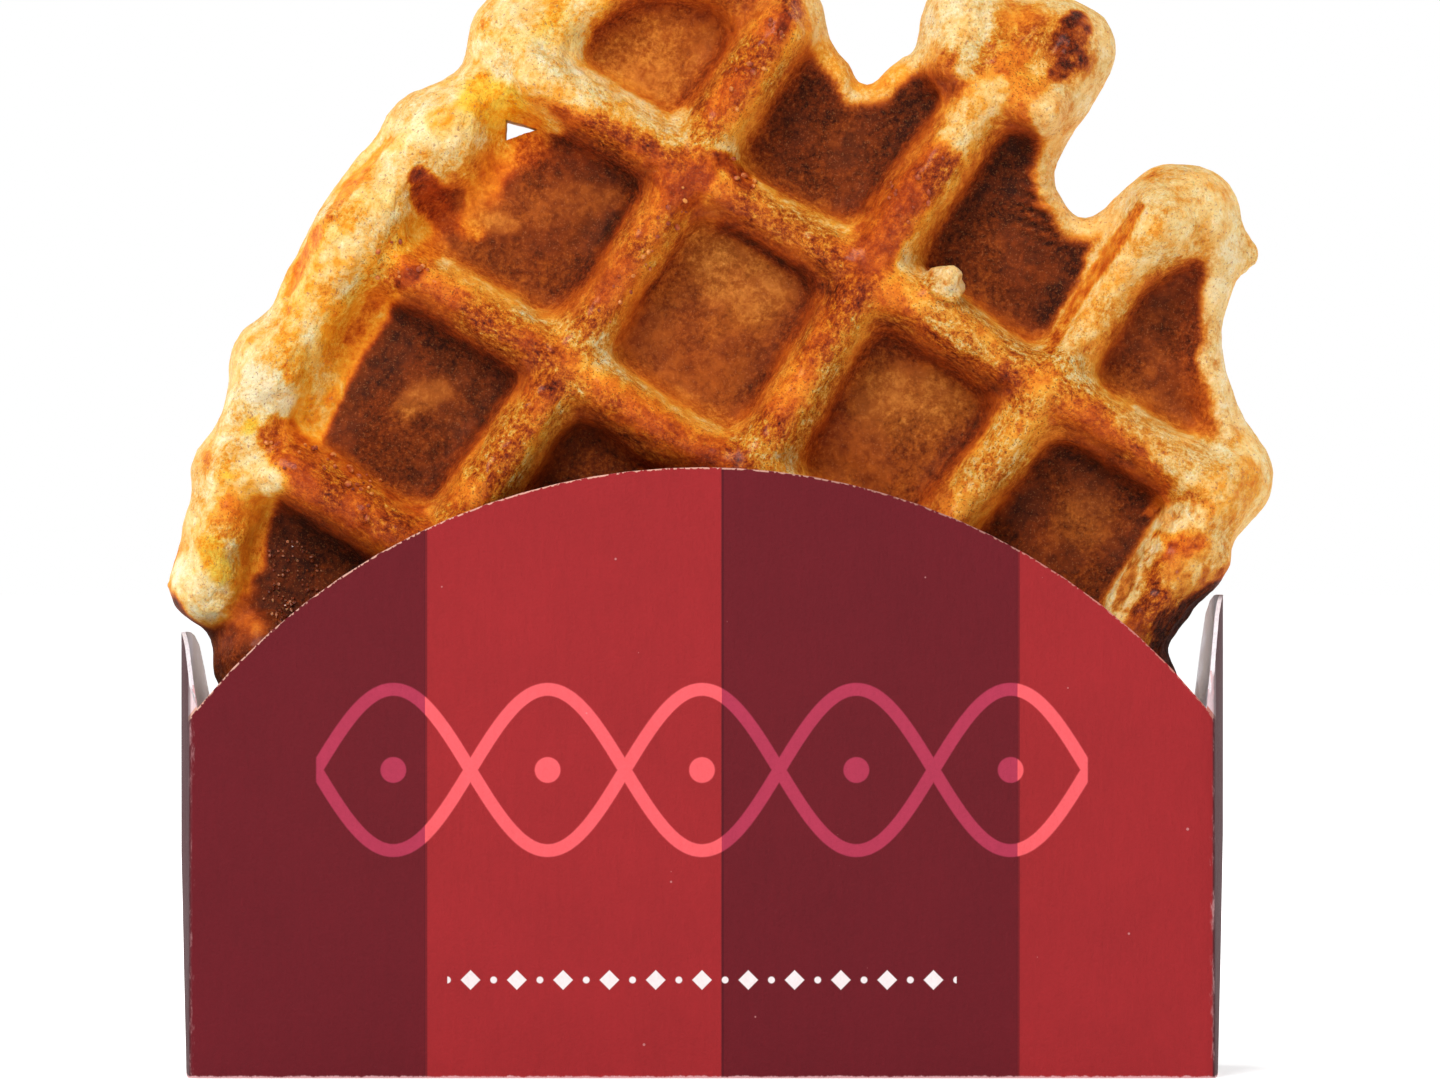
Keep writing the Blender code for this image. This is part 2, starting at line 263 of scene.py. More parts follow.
# The waffle.
waffleLook = {
    "voxel": 1.15,
    "smoothRounds": 6,
    "fineAbove": 43.0,  # what the sleeve hides keeps the coarser mesh
    "fineRounds": 2,
    "crossing": (19.3, 94.4),
    "stepDownRight": (20.9, -12.6),
    "stepUpRight": (14.6, 23.1),
    # Tones by height, darkest at the root of the walls, partly the bake and partly painted shade in the
    # crease.
    "toneHeights": (2.6, 3.3, 4.6, 6.4, 8.4, 9.8, 11.0),
    "tones": (0.71, 0.76, 0.77, 0.64, 0.53, 0.54, 0.60),
    "dullness": (0.9, 0.75, 0.45, 0.35, 0.45, 0.12, 0.0),
    "middleBand": 0.8,  # how near the middle plane the outline runs
    "gapPlace": (-21.9, 111.2),
    "gapRadius": 2.0,
    "gapDepth": 40.0,
    "gapTurn": -30.0,
    "gapStretch": (1.35, 1.0, 0.75),
    "wrinklePlace": (40.5, 101.5, 5.5),
    "wrinkleAim": (0.35, 0.94),
    "wrinkleWave": 1.5,
    "wrinkleLift": 0.46,
    "ridgeRound": 0.10,
    "ridgeHalf": 3.4,
    "frontFacing": 0.1,
    "strokeBorder": 0.95,
}

# Noises of the crust: the size of their lumps in millimetres, and a seed.
crustNoises = {
    "lumps": (3.4, 1.7),
    "wrinkles": (1.5, 5.2),
    "grit": (0.8, 9.1),
    "rimSwells": (5.0, 15.0),
    "rimLumps": (2.4, 17.0),
    "rimGrit": (1.2, 19.0),
    "crumble": (1.1, 41.0),
    "clods": (2.2, 43.0),
    "broad": (9.0, 3.3),
    "patchy": (3.2, 7.9),
    "fine": (1.2, 12.4),
    "broken": (1.5, 51.0),
    "warpX": (4.5, 21.0),
    "warpZ": (4.5, 34.0),
    "fineWarpX": (1.4, 25.0),
    "fineWarpZ": (1.4, 38.0),
    "yolk": (5.0, 61.0),
}

# Heights over the middle plane, and distances from a ridge's middle, over which each thing sets in.
setsIn = {
    "crestRelief": (6.5, 10.0),
    "floorRelief": (3.2, 4.6),
    "rimRelief": (3.0, 5.0),
    "wrinkles": (1.6, 2.6),
    "roundedRidge": (6.5, 9.5),
    "crest": (6.0, 9.5),
    "floor": (3.4, 5.0),
    "flank": (4.6, 6.2),
    "swellFromRidge": (4.0, 9.0),
    "flatFromRidge": (4.5, 6.5),
    "floorFromRidge": (4.5, 8.5),
    "flankFromRidge": (3.5, 6.5),
}

# Small corrections of the outline: (x, z, reach, right, up).
outlineNudges = (
    (60.8, 58.4, 5.0, 1.3, 0.0),
    (57.0, 49.6, 4.5, -0.9, 0.0),
    (52.0, 105.6, 6.0, -0.8, 0.7),
    (48.4, 115.0, 7.0, -0.9, 0.0),
    (19.4, 116.8, 3.4, -0.7, -1.2),
    (23.6, 117.8, 3.2, 0.0, 0.9),
)

# Bakes of single cells, darker or lighter than the rest, by their place in the grid.
cellBakes = {
    (-1, -1): -0.03,
    (0, -1): -0.04,
    (1, -1): 0.08,
    (-1, 0): 0.10,
    (0, 0): 0.12,
    (1, 0): 0.04,
    (-2, -1): 0.03,
    (-2, 0): -0.15,
    (-2, -2): 0.09,
    (-1, -2): 0.04,
    (-2, -3): 0.10,
    (-3, -2): 0.10,
}

# Strokes of other bakes over the crust, and of painted shade under, beside and in the pits of the dough
# that folds over:
# tone, dullness, strength, the height from which they lie, and a line of (x, z, radius).
bakeAndShadeStrokes = {
    "rim": (0.22, 0.18, 1.0, 3.4, (
        (-57.6, 57.6, 4.0), (-55.9, 65.2, 4.6), (-53.3, 72.2, 5.0), (-51.6, 79.2, 5.6), (-48.4, 87.3, 5.8),
        (-44.2, 94.9, 5.6), (-39.6, 101.2, 5.5), (-34.6, 108.6, 6.0), (-30.0, 113.4, 6.0),
        (-23.6, 119.4, 5.4), (-19.2, 124.0, 6.0), (-15.0, 127.5, 4.5))),
    "rimWhite": (0.03, 0.5, 0.9, 4.0, ((-51.4, 80.8, 2.8), (-48.8, 79.2, 2.2))),
    "rimMid": (0.30, 0.1, 0.8, 3.4, ((-50.6, 84.4, 2.0), (-46.0, 90.6, 2.6), (-43.2, 94.0, 2.2))),
    "rimLow": (0.33, 0.0, 0.8, 3.4, ((-54.6, 69.6, 2.6), (-55.8, 65.0, 2.6))),
    "lobeYellow": (0.18, -0.5, 0.9, 3.4, ((-17.0, 122.5, 3.4), (-18.0, 118.5, 2.6))),
    "topLeftRidge": (0.25, 0.2, 0.85, 5.5, ((-19.0, 117.5, 3.4), (-10.0, 115.0, 2.6), (-3.4, 111.0, 2.4))),
    "yellowPatch": (0.28, -1.0, 0.95, 0.5, ((-25.8, 115.4, 2.7), (-22.4, 113.4, 2.1))),
    "rimGold": (0.36, -0.8, 0.9, 1.5, (
        (-33.5, 99.0, 3.0), (-38.2, 92.6, 2.8), (-43.6, 84.6, 2.6), (-46.5, 78.0, 2.2))),
    "rimFoot": (0.12, 0.1, 0.9, -1.0, ((-60.2, 57.6, 3.2), (-58.2, 55.4, 2.6))),
    "rimPink": (0.42, 0.35, 0.55, 6.0, ((-55.8, 68.4, 1.4), (-56.6, 64.2, 1.2))),
    "seam": (0.50, -0.3, 0.8, 0.0, (
        (-36.6, 110.0, 0.4), (-41.2, 104.6, 0.8), (-45.4, 98.2, 0.8), (-48.8, 92.0, 0.5))),
    "gapGlow": (0.34, -1.0, 0.9, 1.0, ((-23.4, 112.2, 2.6), (-20.6, 110.0, 2.6))),
    "crossingBrown": (0.76, 0.1, 0.9, 7.0, ((20.2, 96.4, 3.0),)),
    "goldLow": (0.34, 0.1, 0.85, 7.0, ((39.6, 80.6, 2.4), (34.6, 73.4, 2.2), (31.0, 68.0, 2.2))),
    "rimInner": (0.45, -0.3, 0.9, 0.0, ((-18.3, 113.6, 1.6), (-23.6, 106.8, 2.2), (-27.0, 100.0, 1.8))),
    "rimInnerMid": (0.38, -0.5, 0.95, 0.0, (
        (-38.4, 91.0, 1.6), (-42.2, 84.0, 1.9), (-45.6, 77.2, 1.9), (-47.2, 73.6, 1.4))),
    "rimPeach": (0.29, -0.3, 0.85, 0.0, ((-45.4, 84.4, 1.8), (-43.6, 80.8, 1.7), (-46.0, 77.4, 1.5))),
    "rimInnerLow": (0.50, -0.2, 0.8, 0.0, ((-51.3, 69.2, 1.3), (-54.3, 57.4, 1.5))),
    "caramel": (0.75, 0.0, 1.0, 3.0, ((-34.0, 105.4, 0.8), (-32.0, 103.0, 2.0), (-29.9, 100.4, 2.0))),
    "caramelSide": (0.44, -0.2, 0.85, 0.0, ((-27.6, 106.2, 1.0), (-26.6, 102.6, 1.2), (-26.4, 99.6, 1.2))),
    "ridgeGoldRight": (0.34, 0.1, 0.85, 3.5, ((26.0, 90.2, 1.2), (30.4, 86.4, 1.4), (34.4, 83.8, 1.0))),
    "crossingRight": (0.58, 0.0, 0.7, 7.0, ((39.6, 82.2, 2.2),)),
    "goldLowLeft": (0.44, 0.1, 0.6, 7.0, ((-28.0, 69.0, 1.8), (-22.5, 78.0, 1.8))),
    "centreWall": (0.56, 0.6, 0.7, 3.0, ((-4.6, 91.4, 1.0), (-1.4, 96.8, 1.3), (2.2, 102.4, 1.0))),
    "crystalFloor": (0.94, 0.7, 0.95, 0.0, (
        (-48.6, 64.0, 2.0), (-48.6, 58.0, 3.6), (-48.6, 51.0, 4.0), (-48.0, 45.0, 4.0))),
    "notchEdge": (0.40, 0.0, 0.8, 0.0, ((15.0, 120.4, 1.8), (18.4, 116.6, 1.6), (23.0, 117.6, 1.6))),
    "caramelTail": (0.62, 0.0, 0.7, 3.0, (
        (-31.4, 97.4, 1.6), (-34.4, 94.8, 1.5), (-38.2, 91.4, 1.0), (-41.4, 86.8, 0.8))),
    "tailSpots": (0.80, 0.0, 0.8, 3.0, ((-33.6, 93.9, 1.1), (-35.4, 92.6, 0.8))),
    "lowLeftRidge": (0.72, 0.1, 0.85, 5.0, ((-49.6, 75.0, 2.8), (-42.6, 69.6, 2.8), (-34.0, 63.6, 3.0))),
    "lowLeftCrust": (0.74, 0.0, 0.7, 4.0, ((-50.6, 74.4, 1.8), (-46.8, 71.0, 1.6))),
    "upperRidgeCrust": (0.62, 0.1, 0.7, 8.0, ((-12.6, 88.0, 1.3), (-6.6, 97.0, 1.5), (-1.2, 104.4, 1.9))),
    "crossingCrust": (0.74, 0.0, 0.8, 7.0, ((-1.6, 103.6, 1.8), (1.0, 107.0, 1.5))),
    "topRidgeCrust": (0.62, 0.0, 0.6, 7.0, ((3.4, 114.6, 1.6), (7.6, 121.4, 1.7), (10.4, 125.4, 1.4))),
    "topRidgeSpots": (0.86, 0.0, 0.7, 7.0, ((9.8, 124.6, 0.7), (9.0, 122.0, 0.5))),
    "redCrumbs": (0.86, 0.0, 0.85, 4.0, ((2.2, 107.4, 1.0), (4.2, 105.6, 1.1), (5.6, 104.4, 0.6))),
    "lobePaleLeft": (0.17, 0.35, 0.95, 3.0, ((28.2, 124.6, 3.8), (33.6, 123.4, 4.2), (31.6, 119.0, 2.4))),
    "lobeOrange": (0.54, 0.0, 0.9, 4.0, ((33.4, 117.6, 2.6), (36.8, 120.8, 3.0), (37.2, 126.6, 2.6))),
    "lobePaleRight": (0.20, 0.75, 0.95, 2.0, ((46.4, 122.4, 2.8), (45.8, 115.8, 4.4), (41.6, 112.6, 3.2))),
    "lobeDark": (0.94, 0.25, 1.0, 4.0, ((44.0, 122.8, 2.0), (43.2, 119.4, 2.6), (41.6, 117.4, 1.2))),
    "ridgePale": (0.28, 0.3, 0.9, 5.0, ((34.0, 115.4, 2.4), (31.2, 112.4, 3.0), (28.8, 109.8, 1.8))),
    "ridgeRedCrust": (0.70, 0.1, 0.85, 4.5, ((28.2, 107.6, 2.2), (24.0, 102.6, 2.8), (21.0, 99.2, 1.8))),
    "rightLobe": (0.25, 0.45, 1.0, 2.4, (
        (43.8, 87.0, 2.2), (46.8, 91.6, 3.0), (50.4, 97.6, 3.8), (55.6, 102.0, 5.6),
        (58.6, 102.4, 5.6), (62.4, 97.4, 3.4))),
    "rightLobeGold": (0.36, 0.0, 0.3, 5.0, ((44.4, 87.6, 1.8), (48.2, 93.0, 1.8), (52.0, 98.6, 2.4))),
    "lobeBorder": (0.70, 0.0, 0.8, 3.6, (
        (40.6, 85.0, 0.5), (43.4, 89.6, 0.6), (46.4, 94.6, 0.7), (49.8, 99.6, 0.7), (51.4, 102.2, 0.5))),
    "brow": (0.12, 0.95, 0.95, 2.0, (
        (62.4, 97.0, 2.2), (60.4, 90.5, 1.9), (60.4, 86.2, 2.0), (61.8, 80.4, 2.2), (63.6, 74.7, 3.2))),
    "rightRidge": (0.24, 0.5, 0.9, 5.0, ((50.4, 76.4, 2.2), (56.0, 72.8, 2.6), (61.4, 70.2, 3.4))),
    "lowRightLobe": (0.31, 0.3, 0.95, 2.4, ((64.2, 72.0, 4.0), (62.8, 67.4, 4.6), (58.0, 69.0, 3.2))),
    "lowRightSpot": (0.62, 0.0, 0.8, 4.0, ((53.6, 70.2, 0.8), (54.2, 68.6, 0.6))),
    "midRidge": (0.36, 0.25, 0.65, 7.0, ((24.6, 92.4, 1.8), (31.0, 88.0, 2.0), (37.0, 84.6, 1.8))),
    "lump": (0.22, 0.85, 1.0, 6.0, ((28.4, 94.2, 2.2), (28.6, 93.2, 2.0))),
    "flap": (0.18, 0.7, 1.0, 4.0, (
        (57.6, 65.4, 2.4), (55.6, 64.8, 2.2), (51.3, 60.4, 1.9), (48.0, 54.0, 1.9), (46.6, 50.0, 1.4))),
    "flapNose": (0.28, 0.5, 0.95, 4.0, ((59.6, 63.6, 2.4), (59.4, 60.2, 2.2), (55.8, 58.4, 1.8))),
    "flapHollow": (0.54, -0.2, 0.9, 4.0, ((53.6, 63.4, 0.6), (55.2, 62.4, 1.2), (58.2, 62.8, 1.2))),
    "flapOrange": (0.46, -0.3, 0.8, 4.0, ((47.8, 59.6, 0.6), (46.4, 56.0, 0.7), (45.4, 52.6, 0.6))),
    # painted shadow where the flap's top meets the lobe
    "flapCrease": (0.52, 0.2, 0.75, 3.0, (
        (52.4, 65.8, 0.5), (54.0, 67.6, 0.6), (57.0, 68.2, 0.6), (59.8, 66.6, 0.5))),
    # painted shade in the pits of the flap
    "flapPits": (0.66, 0.7, 0.7, 4.0, ((51.2, 61.0, 0.5), (50.2, 58.4, 0.8), (48.6, 54.8, 0.5))),
    "flapBrown": (0.70, 0.3, 0.85, 3.0, ((53.4, 57.6, 0.8), (51.6, 54.4, 1.3), (49.4, 50.4, 1.6))),
    # painted shade under the flap's nose and along its foot
    "flapUnder": (0.93, 0.5, 1.0, 0.0, (
        (61.0, 56.6, 1.2), (57.6, 54.6, 1.8), (54.6, 51.6, 2.4), (53.0, 46.0, 3.0), (51.8, 42.0, 3.4))),
    "lowLeftEdge": (0.84, 0.5, 0.9, 0.0, ((-55.8, 50.4, 2.2), (-53.0, 46.6, 3.0), (-50.0, 40.0, 4.0))),
    "rimGoldLow": (0.22, -1.0, 0.95, 0.5, ((-57.7, 62.2, 1.7), (-56.4, 58.8, 1.6))),
    "rimOrange": (0.50, -0.1, 0.9, 0.5, ((-55.4, 67.0, 1.2), (-53.2, 63.8, 1.8), (-52.6, 60.2, 1.4))),
    "yolkSpots": (0.22, -1.0, 0.85, 3.0, ((-52.9, 76.6, 0.9), (-53.4, 75.6, 0.9))),
    "yolkSpotsLow": (0.26, -1.0, 0.85, 3.0, ((-55.8, 70.4, 0.6), (-55.4, 70.0, 0.7))),
    "paleFloorCentre": (0.52, 1.0, 0.85, 0.0, ((2.6, 94.8, 4.6), (6.4, 92.6, 4.4))),
    "paleFloorRight": (0.55, 1.0, 0.85, 0.0, ((21.6, 79.6, 4.2), (27.0, 79.4, 4.0))),
    "paleFloorLow": (0.62, 1.0, 0.7, 0.0, ((45.2, 65.6, 3.8),)),
    "paleFloorLeft": (0.54, 1.0, 0.8, 0.0, ((-34.6, 78.6, 1.7), (-31.0, 80.6, 1.6))),
    "paleFloorUp": (0.56, 0.8, 0.6, 0.0, ((-25.0, 101.0, 2.2), (-18.0, 101.6, 2.6), (-10.6, 103.4, 2.2))),
    "pinkSpots": (0.40, 0.9, 0.6, 0.0, ((-24.4, 100.4, 1.2), (-22.6, 99.6, 0.9))),
    "darkFloorUp": (0.80, 0.5, 0.7, 0.0, ((-19.4, 108.2, 2.2), (-13.0, 109.4, 2.8))),
    "darkFloorMid": (0.78, 0.7, 0.6, 0.0, ((-17.4, 97.4, 2.4), (-13.8, 97.0, 1.8))),
}

# Strokes that end at a height, as on the floors, and strokes that the back has too.
strokeTops = {
    "rimInner": 8.0, "rimInnerLow": 8.0, "centreWall": 8.8, "paleFloorCentre": 4.4,
    "paleFloorRight": 4.4, "paleFloorLow": 4.6, "paleFloorLeft": 4.4, "paleFloorUp": 4.6,
    "pinkSpots": 5.0, "darkFloorUp": 5.0, "darkFloorMid": 4.4,
}
onBothSides = {
    "rim", "rimWhite", "rimMid", "rimLow", "lobeYellow", "topLeftRidge", "yellowPatch", "rimGold",
    "rimFoot", "notchEdge", "lobePaleLeft", "lobePaleRight", "rightLobe", "brow", "lowRightLobe",
    "flapUnder", "lowLeftEdge",
}


def latticePlaces(places):
    # each place counted in steps of the ridge grid, along both of its directions
    across = Vector(waffleLook["stepDownRight"])
    upward = Vector(waffleLook["stepUpRight"])
    area = across.x * upward.y - across.y * upward.x
    x = places[:, 0] / mm - waffleLook["crossing"][0]
    z = places[:, 2] / mm - waffleLook["crossing"][1]
    alongAcross = (x * upward.y - z * upward.x) / area
    alongUpward = (z * across.x - x * across.y) / area
    return alongAcross, alongUpward, area / upward.length, area / across.length


def ridgeOffsets(places):
    # signed millimetres to the middle of the nearest ridge of either direction
    alongAcross, alongUpward, acrossSize, upwardSize = latticePlaces(places)
    offUp = (alongAcross - np.round(alongAcross)) * acrossSize
    offDown = (alongUpward - np.round(alongUpward)) * upwardSize
    return offUp, offDown


def strokeMask(x, z, line, soft=0.25):
    # 1 on a stroke and 0 off it, with a soft border that the caller's warped places make uneven
    nearest = np.full(len(x), 9.0)  # in radii, and far off to begin with
    ends = line if len(line) > 1 else (line[0], line[0])
    for (startX, startZ, startRadius), (endX, endZ, endRadius) in zip(ends, ends[1:]):
        spanX = endX - startX
        spanZ = endZ - startZ
        span = max(spanX * spanX + spanZ * spanZ, 0.000001)
        share = np.clip(((x - startX) * spanX + (z - startZ) * spanZ) / span, 0.0, 1.0)
        distance = np.hypot(x - startX - share * spanX, z - startZ - share * spanZ)
        nearest = np.minimum(nearest, distance / (startRadius + share * (endRadius - startRadius)))
    border = waffleLook["strokeBorder"]
    return 1.0 - rise(border - soft, border + soft, nearest)


def strokeAt(places, name):
    return strokeMask(places[:, 0] / mm, places[:, 2] / mm, bakeAndShadeStrokes[name][-1])


def wrinklesAt(places):
    # a wave of fine wrinkles, which fades towards the rim of its place
    placeX, placeZ, radius = waffleLook["wrinklePlace"]
    aimX, aimZ = waffleLook["wrinkleAim"]
    x = places[:, 0] / mm - placeX
    z = places[:, 2] / mm - placeZ
    wave = np.sin((aimX * x + aimZ * z) * math.tau / waffleLook["wrinkleWave"])
    return wave * (1.0 - rise(0.5 * radius, radius, np.hypot(x, z)))


def edgeDistances(places):
    # millimetres to the outline, which is where the skin crosses the waffle's middle plane
    outline = places[np.abs(places[:, 1]) < waffleLook["middleBand"] * mm]
    tree = kdtree.KDTree(len(outline))
    for index, (x, y, z) in enumerate(outline):
        tree.insert((x, 0.0, z), index)
    tree.balance()
    return np.array([tree.find((x, 0.0, z))[2] for x, y, z in places]) / mm


def cutGap(piece):
    # the small three-sided gap beside the rim, which the remesh has closed
    radius = waffleLook["gapRadius"] * mm
    gapX, gapZ = waffleLook["gapPlace"]
    bpy.ops.mesh.primitive_cone_add(
        vertices=3, radius1=radius, radius2=radius, depth=waffleLook["gapDepth"] * mm,
        location=(gapX * mm, 0.0, gapZ * mm),
        rotation=(math.radians(90.0), math.radians(waffleLook["gapTurn"]), 0.0))
    cutter = bpy.context.object
    bpy.ops.object.transform_apply(location=False, rotation=True, scale=False)
    cutter.scale = waffleLook["gapStretch"]
    applyModifier(piece, "BOOLEAN", operation="DIFFERENCE", object=cutter, solver="MANIFOLD")
    bpy.data.objects.remove(cutter)


def refineFront(piece):
    # the shown face above the sleeve gets a mesh twice as fine
    centres = vectorsOf(piece.data.polygons, "center")
    facesFront = vectorsOf(piece.data.polygons, "normal")[:, 1] < waffleLook["frontFacing"]
    aboveSleeve = centres[:, 2] > waffleLook["fineAbove"] * mm
    makeActive(piece)
    setMode("EDIT")
    bpy.ops.mesh.select_all(action="DESELECT")
    setMode("OBJECT")
    piece.data.polygons.foreach_set("select", facesFront & (centres[:, 1] < 0.0) & aboveSleeve)
    setMode("EDIT")
    bpy.ops.mesh.select_mode(type="FACE")
    bpy.ops.mesh.subdivide(number_cuts=1)
    setMode("OBJECT")
    applyModifier(piece, "SMOOTH", factor=0.5, iterations=waffleLook["fineRounds"])


def shapeWaffle():
    piece = copyOfNode("waffle", "waffle_dough")
    applyModifier(piece, "REMESH", mode="VOXEL", voxel_size=waffleLook["voxel"] * mm)
    applyModifier(piece, "SMOOTH", factor=0.5, iterations=waffleLook["smoothRounds"])
    cutGap(piece)
    refineFront(piece)
    return piece


# How far each noise lifts the skin, in millimetres, and what the crests add to it.
crustLifts = {
    "lumps": (0.16, 0.0),
    "wrinkles": (0.09, 0.13),
    "grit": (0.05, 0.09),
}

# What single parts of the crust get besides.
partLifts = {
    "floorSwell": 0.45,
    "rimSwells": 0.6,
    "rimLumps": 0.35,
    "rimGrit": 0.16,
    "flapCrumble": 0.45,
    "flapLumps": 0.35,
    "lumpCrumble": 0.5,
    "lumpLumps": 0.8,
    "lump": 0.4,
    "lumpGrowth": 0.35,  # how much wider the stuck lump gets
}


def roughenWaffle(piece):
    places = vectorsOf(piece.data.vertices, "co")
    normals = vectorsOf(piece.data.vertices, "normal")
    height = np.abs(places[:, 1]) / mm
    crest = rise(*setsIn["crestRelief"], height)
    x = places[:, 0] / mm
    z = places[:, 2] / mm
    offUp, offDown = ridgeOffsets(places)
    inFromRidge = np.minimum(np.abs(offDown), np.abs(offUp))
    onFloor = 1.0 - rise(*setsIn["floorRelief"], height)
    soft = strokeAt(places, "rim") * rise(*setsIn["rimRelief"], height)
    push = partLifts["floorSwell"] * onFloor * rise(*setsIn["swellFromRidge"], inFromRidge)
    for name, (lift, onCrest) in crustLifts.items():
        push += (lift + onCrest * crest) * crustNoise(places, name)
    for name in ("rimSwells", "rimLumps", "rimGrit"):
        push += soft * partLifts[name] * crustNoise(places, name)
    # wrinkles only where the floor of the bitten pocket faces the front
    onFace = rise(0.6, 0.9, -normals[:, 1]) * rise(*setsIn["wrinkles"], height)
    push += waffleLook["wrinkleLift"] * onFace * wrinklesAt(places)
    lump = strokeAt(places, "lump") * (height > 7.0)
    flap = strokeAt(places, "flap") * (height > 6.0)
    crumble = partLifts["lumpCrumble"] * lump + partLifts["flapCrumble"] * flap
    clods = partLifts["lumpLumps"] * lump + partLifts["flapLumps"] * flap
    push += crumble * crustNoise(places, "crumble") + clods * crustNoise(places, "clods")
    push += partLifts["lump"] * lump
    moved = places + normals * (push * mm)[:, None]
    # ridges rounded off to both sides of their middle
    sunk = waffleLook["ridgeRound"] * np.clip(inFromRidge, 0.0, waffleLook["ridgeHalf"]) ** 2
    sunk *= rise(*setsIn["roundedRidge"], height) * (1.0 - soft)
    sunk *= 1.0 - rise(*setsIn["flatFromRidge"], inFromRidge)
    moved[:, 1] -= np.sign(moved[:, 1]) * sunk * mm
    lumpX, lumpZ = bakeAndShadeStrokes["lump"][-1][0][:2]
    moved[:, 0] += partLifts["lumpGrowth"] * lump * (x - lumpX) * mm
    moved[:, 2] += partLifts["lumpGrowth"] * lump * (z - lumpZ) * mm
    for nudgeX, nudgeZ, reach, right, up in outlineNudges:
        share = 1.0 - rise(0.2 * reach, reach, np.hypot(x - nudgeX, z - nudgeZ))
        moved[:, 0] += share * right * mm
        moved[:, 2] += share * up * mm
    movePoints(piece, moved)


# The bake apart from its strokes, with painted shade and painted highlights across the cells and ridges.
# Tones run from 0, pale dough, to 1, nearly black.
paintLook = {
    "towardsRidge": 0.05,  # what a floor gains beside a ridge, partly bake and partly painted shade in the crease
    "shadeTowardsTop": 0.16,  # painted shade: what a cell gains from its foot to its top, and from right to left
    "shadeTowardsLeft": 0.10,
    "flankReach": 4.0,
    "flankShadeDown": 0.035,  # painted shade and light across the ridges: darker for each millimetre below a ridge that falls to the right
    "flankShadeUp": 0.02,
    "paintedHighlight": 0.15,  # painted highlights: lighter bands along the upper and right flanks of the ridges
    "highlightOff": 2.6,
    "highlightWidth": 1.1,
    "highlightUp": 0.7,
    "broad": 0.08,
    "patchy": 0.07,
    "fine": 0.05,
    "wrinkle": 0.09,
    "edgeTone": 0.26,
    "edgeDull": 0.4,
    "edgeWidth": 2.4,
    "edgeFrom": (56.0, 64.0),  # heights over the table at which the pale edge sets in
    "warp": 1.3,
    "fineWarp": 0.5,
    "thinStroke": 2.0,  # strokes with smaller radii are warped less
    "thinWarp": 0.3,
    "paleBelow": 0.34,
    "rimYolk": 0.6,
}

# Painted shade in the sunk pits of the dough that folds over: name of the stroke and tone.
pitShadeTones = {"flap": 0.24, "flapNose": 0.2, "lump": 0.3}


def latticeBakeAndPaintedLight(places, height, patchy, broken):
    # tone and dullness along the iron's grid: the bake, with painted shade towards the top and left of
    # each cell and below the ridges, painted highlights along the ridges' upper and right flanks, and a
    # darker crease beside each ridge that is partly bake and partly painted shade
    look = paintLook
    alongAcross, alongUpward = latticePlaces(places)[:2]
    offUp, offDown = ridgeOffsets(places)
    inFromRidge = np.minimum(np.abs(offDown), np.abs(offUp))
    tone = np.interp(height, waffleLook["toneHeights"], waffleLook["tones"])
    dull = np.interp(height, waffleLook["toneHeights"], waffleLook["dullness"])
    onFloor = 1.0 - rise(*setsIn["floor"], height)
    cells = zip(np.floor(alongAcross).astype(int), np.floor(alongUpward).astype(int))
    bakes = np.array([cellBakes.get(cell, 0.0) for cell in cells])
    fromLeft = alongAcross - np.floor(alongAcross)
    fromBelow = alongUpward - np.floor(alongUpward)
    nearRidge = 1.0 - rise(*setsIn["floorFromRidge"], inFromRidge + 1.5 * patchy)
    tone += onFloor * (bakes + look["towardsRidge"] * nearRidge)
    slope = look["shadeTowardsTop"] * (fromBelow - 0.5) - look["shadeTowardsLeft"] * (fromLeft - 0.5)
    tone += (1.0 - rise(*setsIn["crest"], height)) * slope
    for off, strength in ((offDown, look["flankShadeDown"]), (offUp, look["flankShadeUp"])):
        onFlank = np.clip(off, -look["flankReach"], look["flankReach"])
        tone -= strength * onFlank * (1.0 - rise(*setsIn["flankFromRidge"], np.abs(off)))
    # painted highlight along the upper and right flanks, which also lowers the dullness
    paintedHighlight = np.exp(-((offDown - look["highlightOff"]) / look["highlightWidth"]) ** 2)
    paintedHighlight += look["highlightUp"] * np.exp(-((offUp - look["highlightOff"]) / look["highlightWidth"]) ** 2)
    paintedHighlight = np.clip(paintedHighlight, 0.0, 1.0) * rise(*setsIn["flank"], height) * (0.35 + 0.65 * broken)
    tone -= look["paintedHighlight"] * paintedHighlight
    dull *= 1.0 - 0.8 * paintedHighlight
    return tone, dull


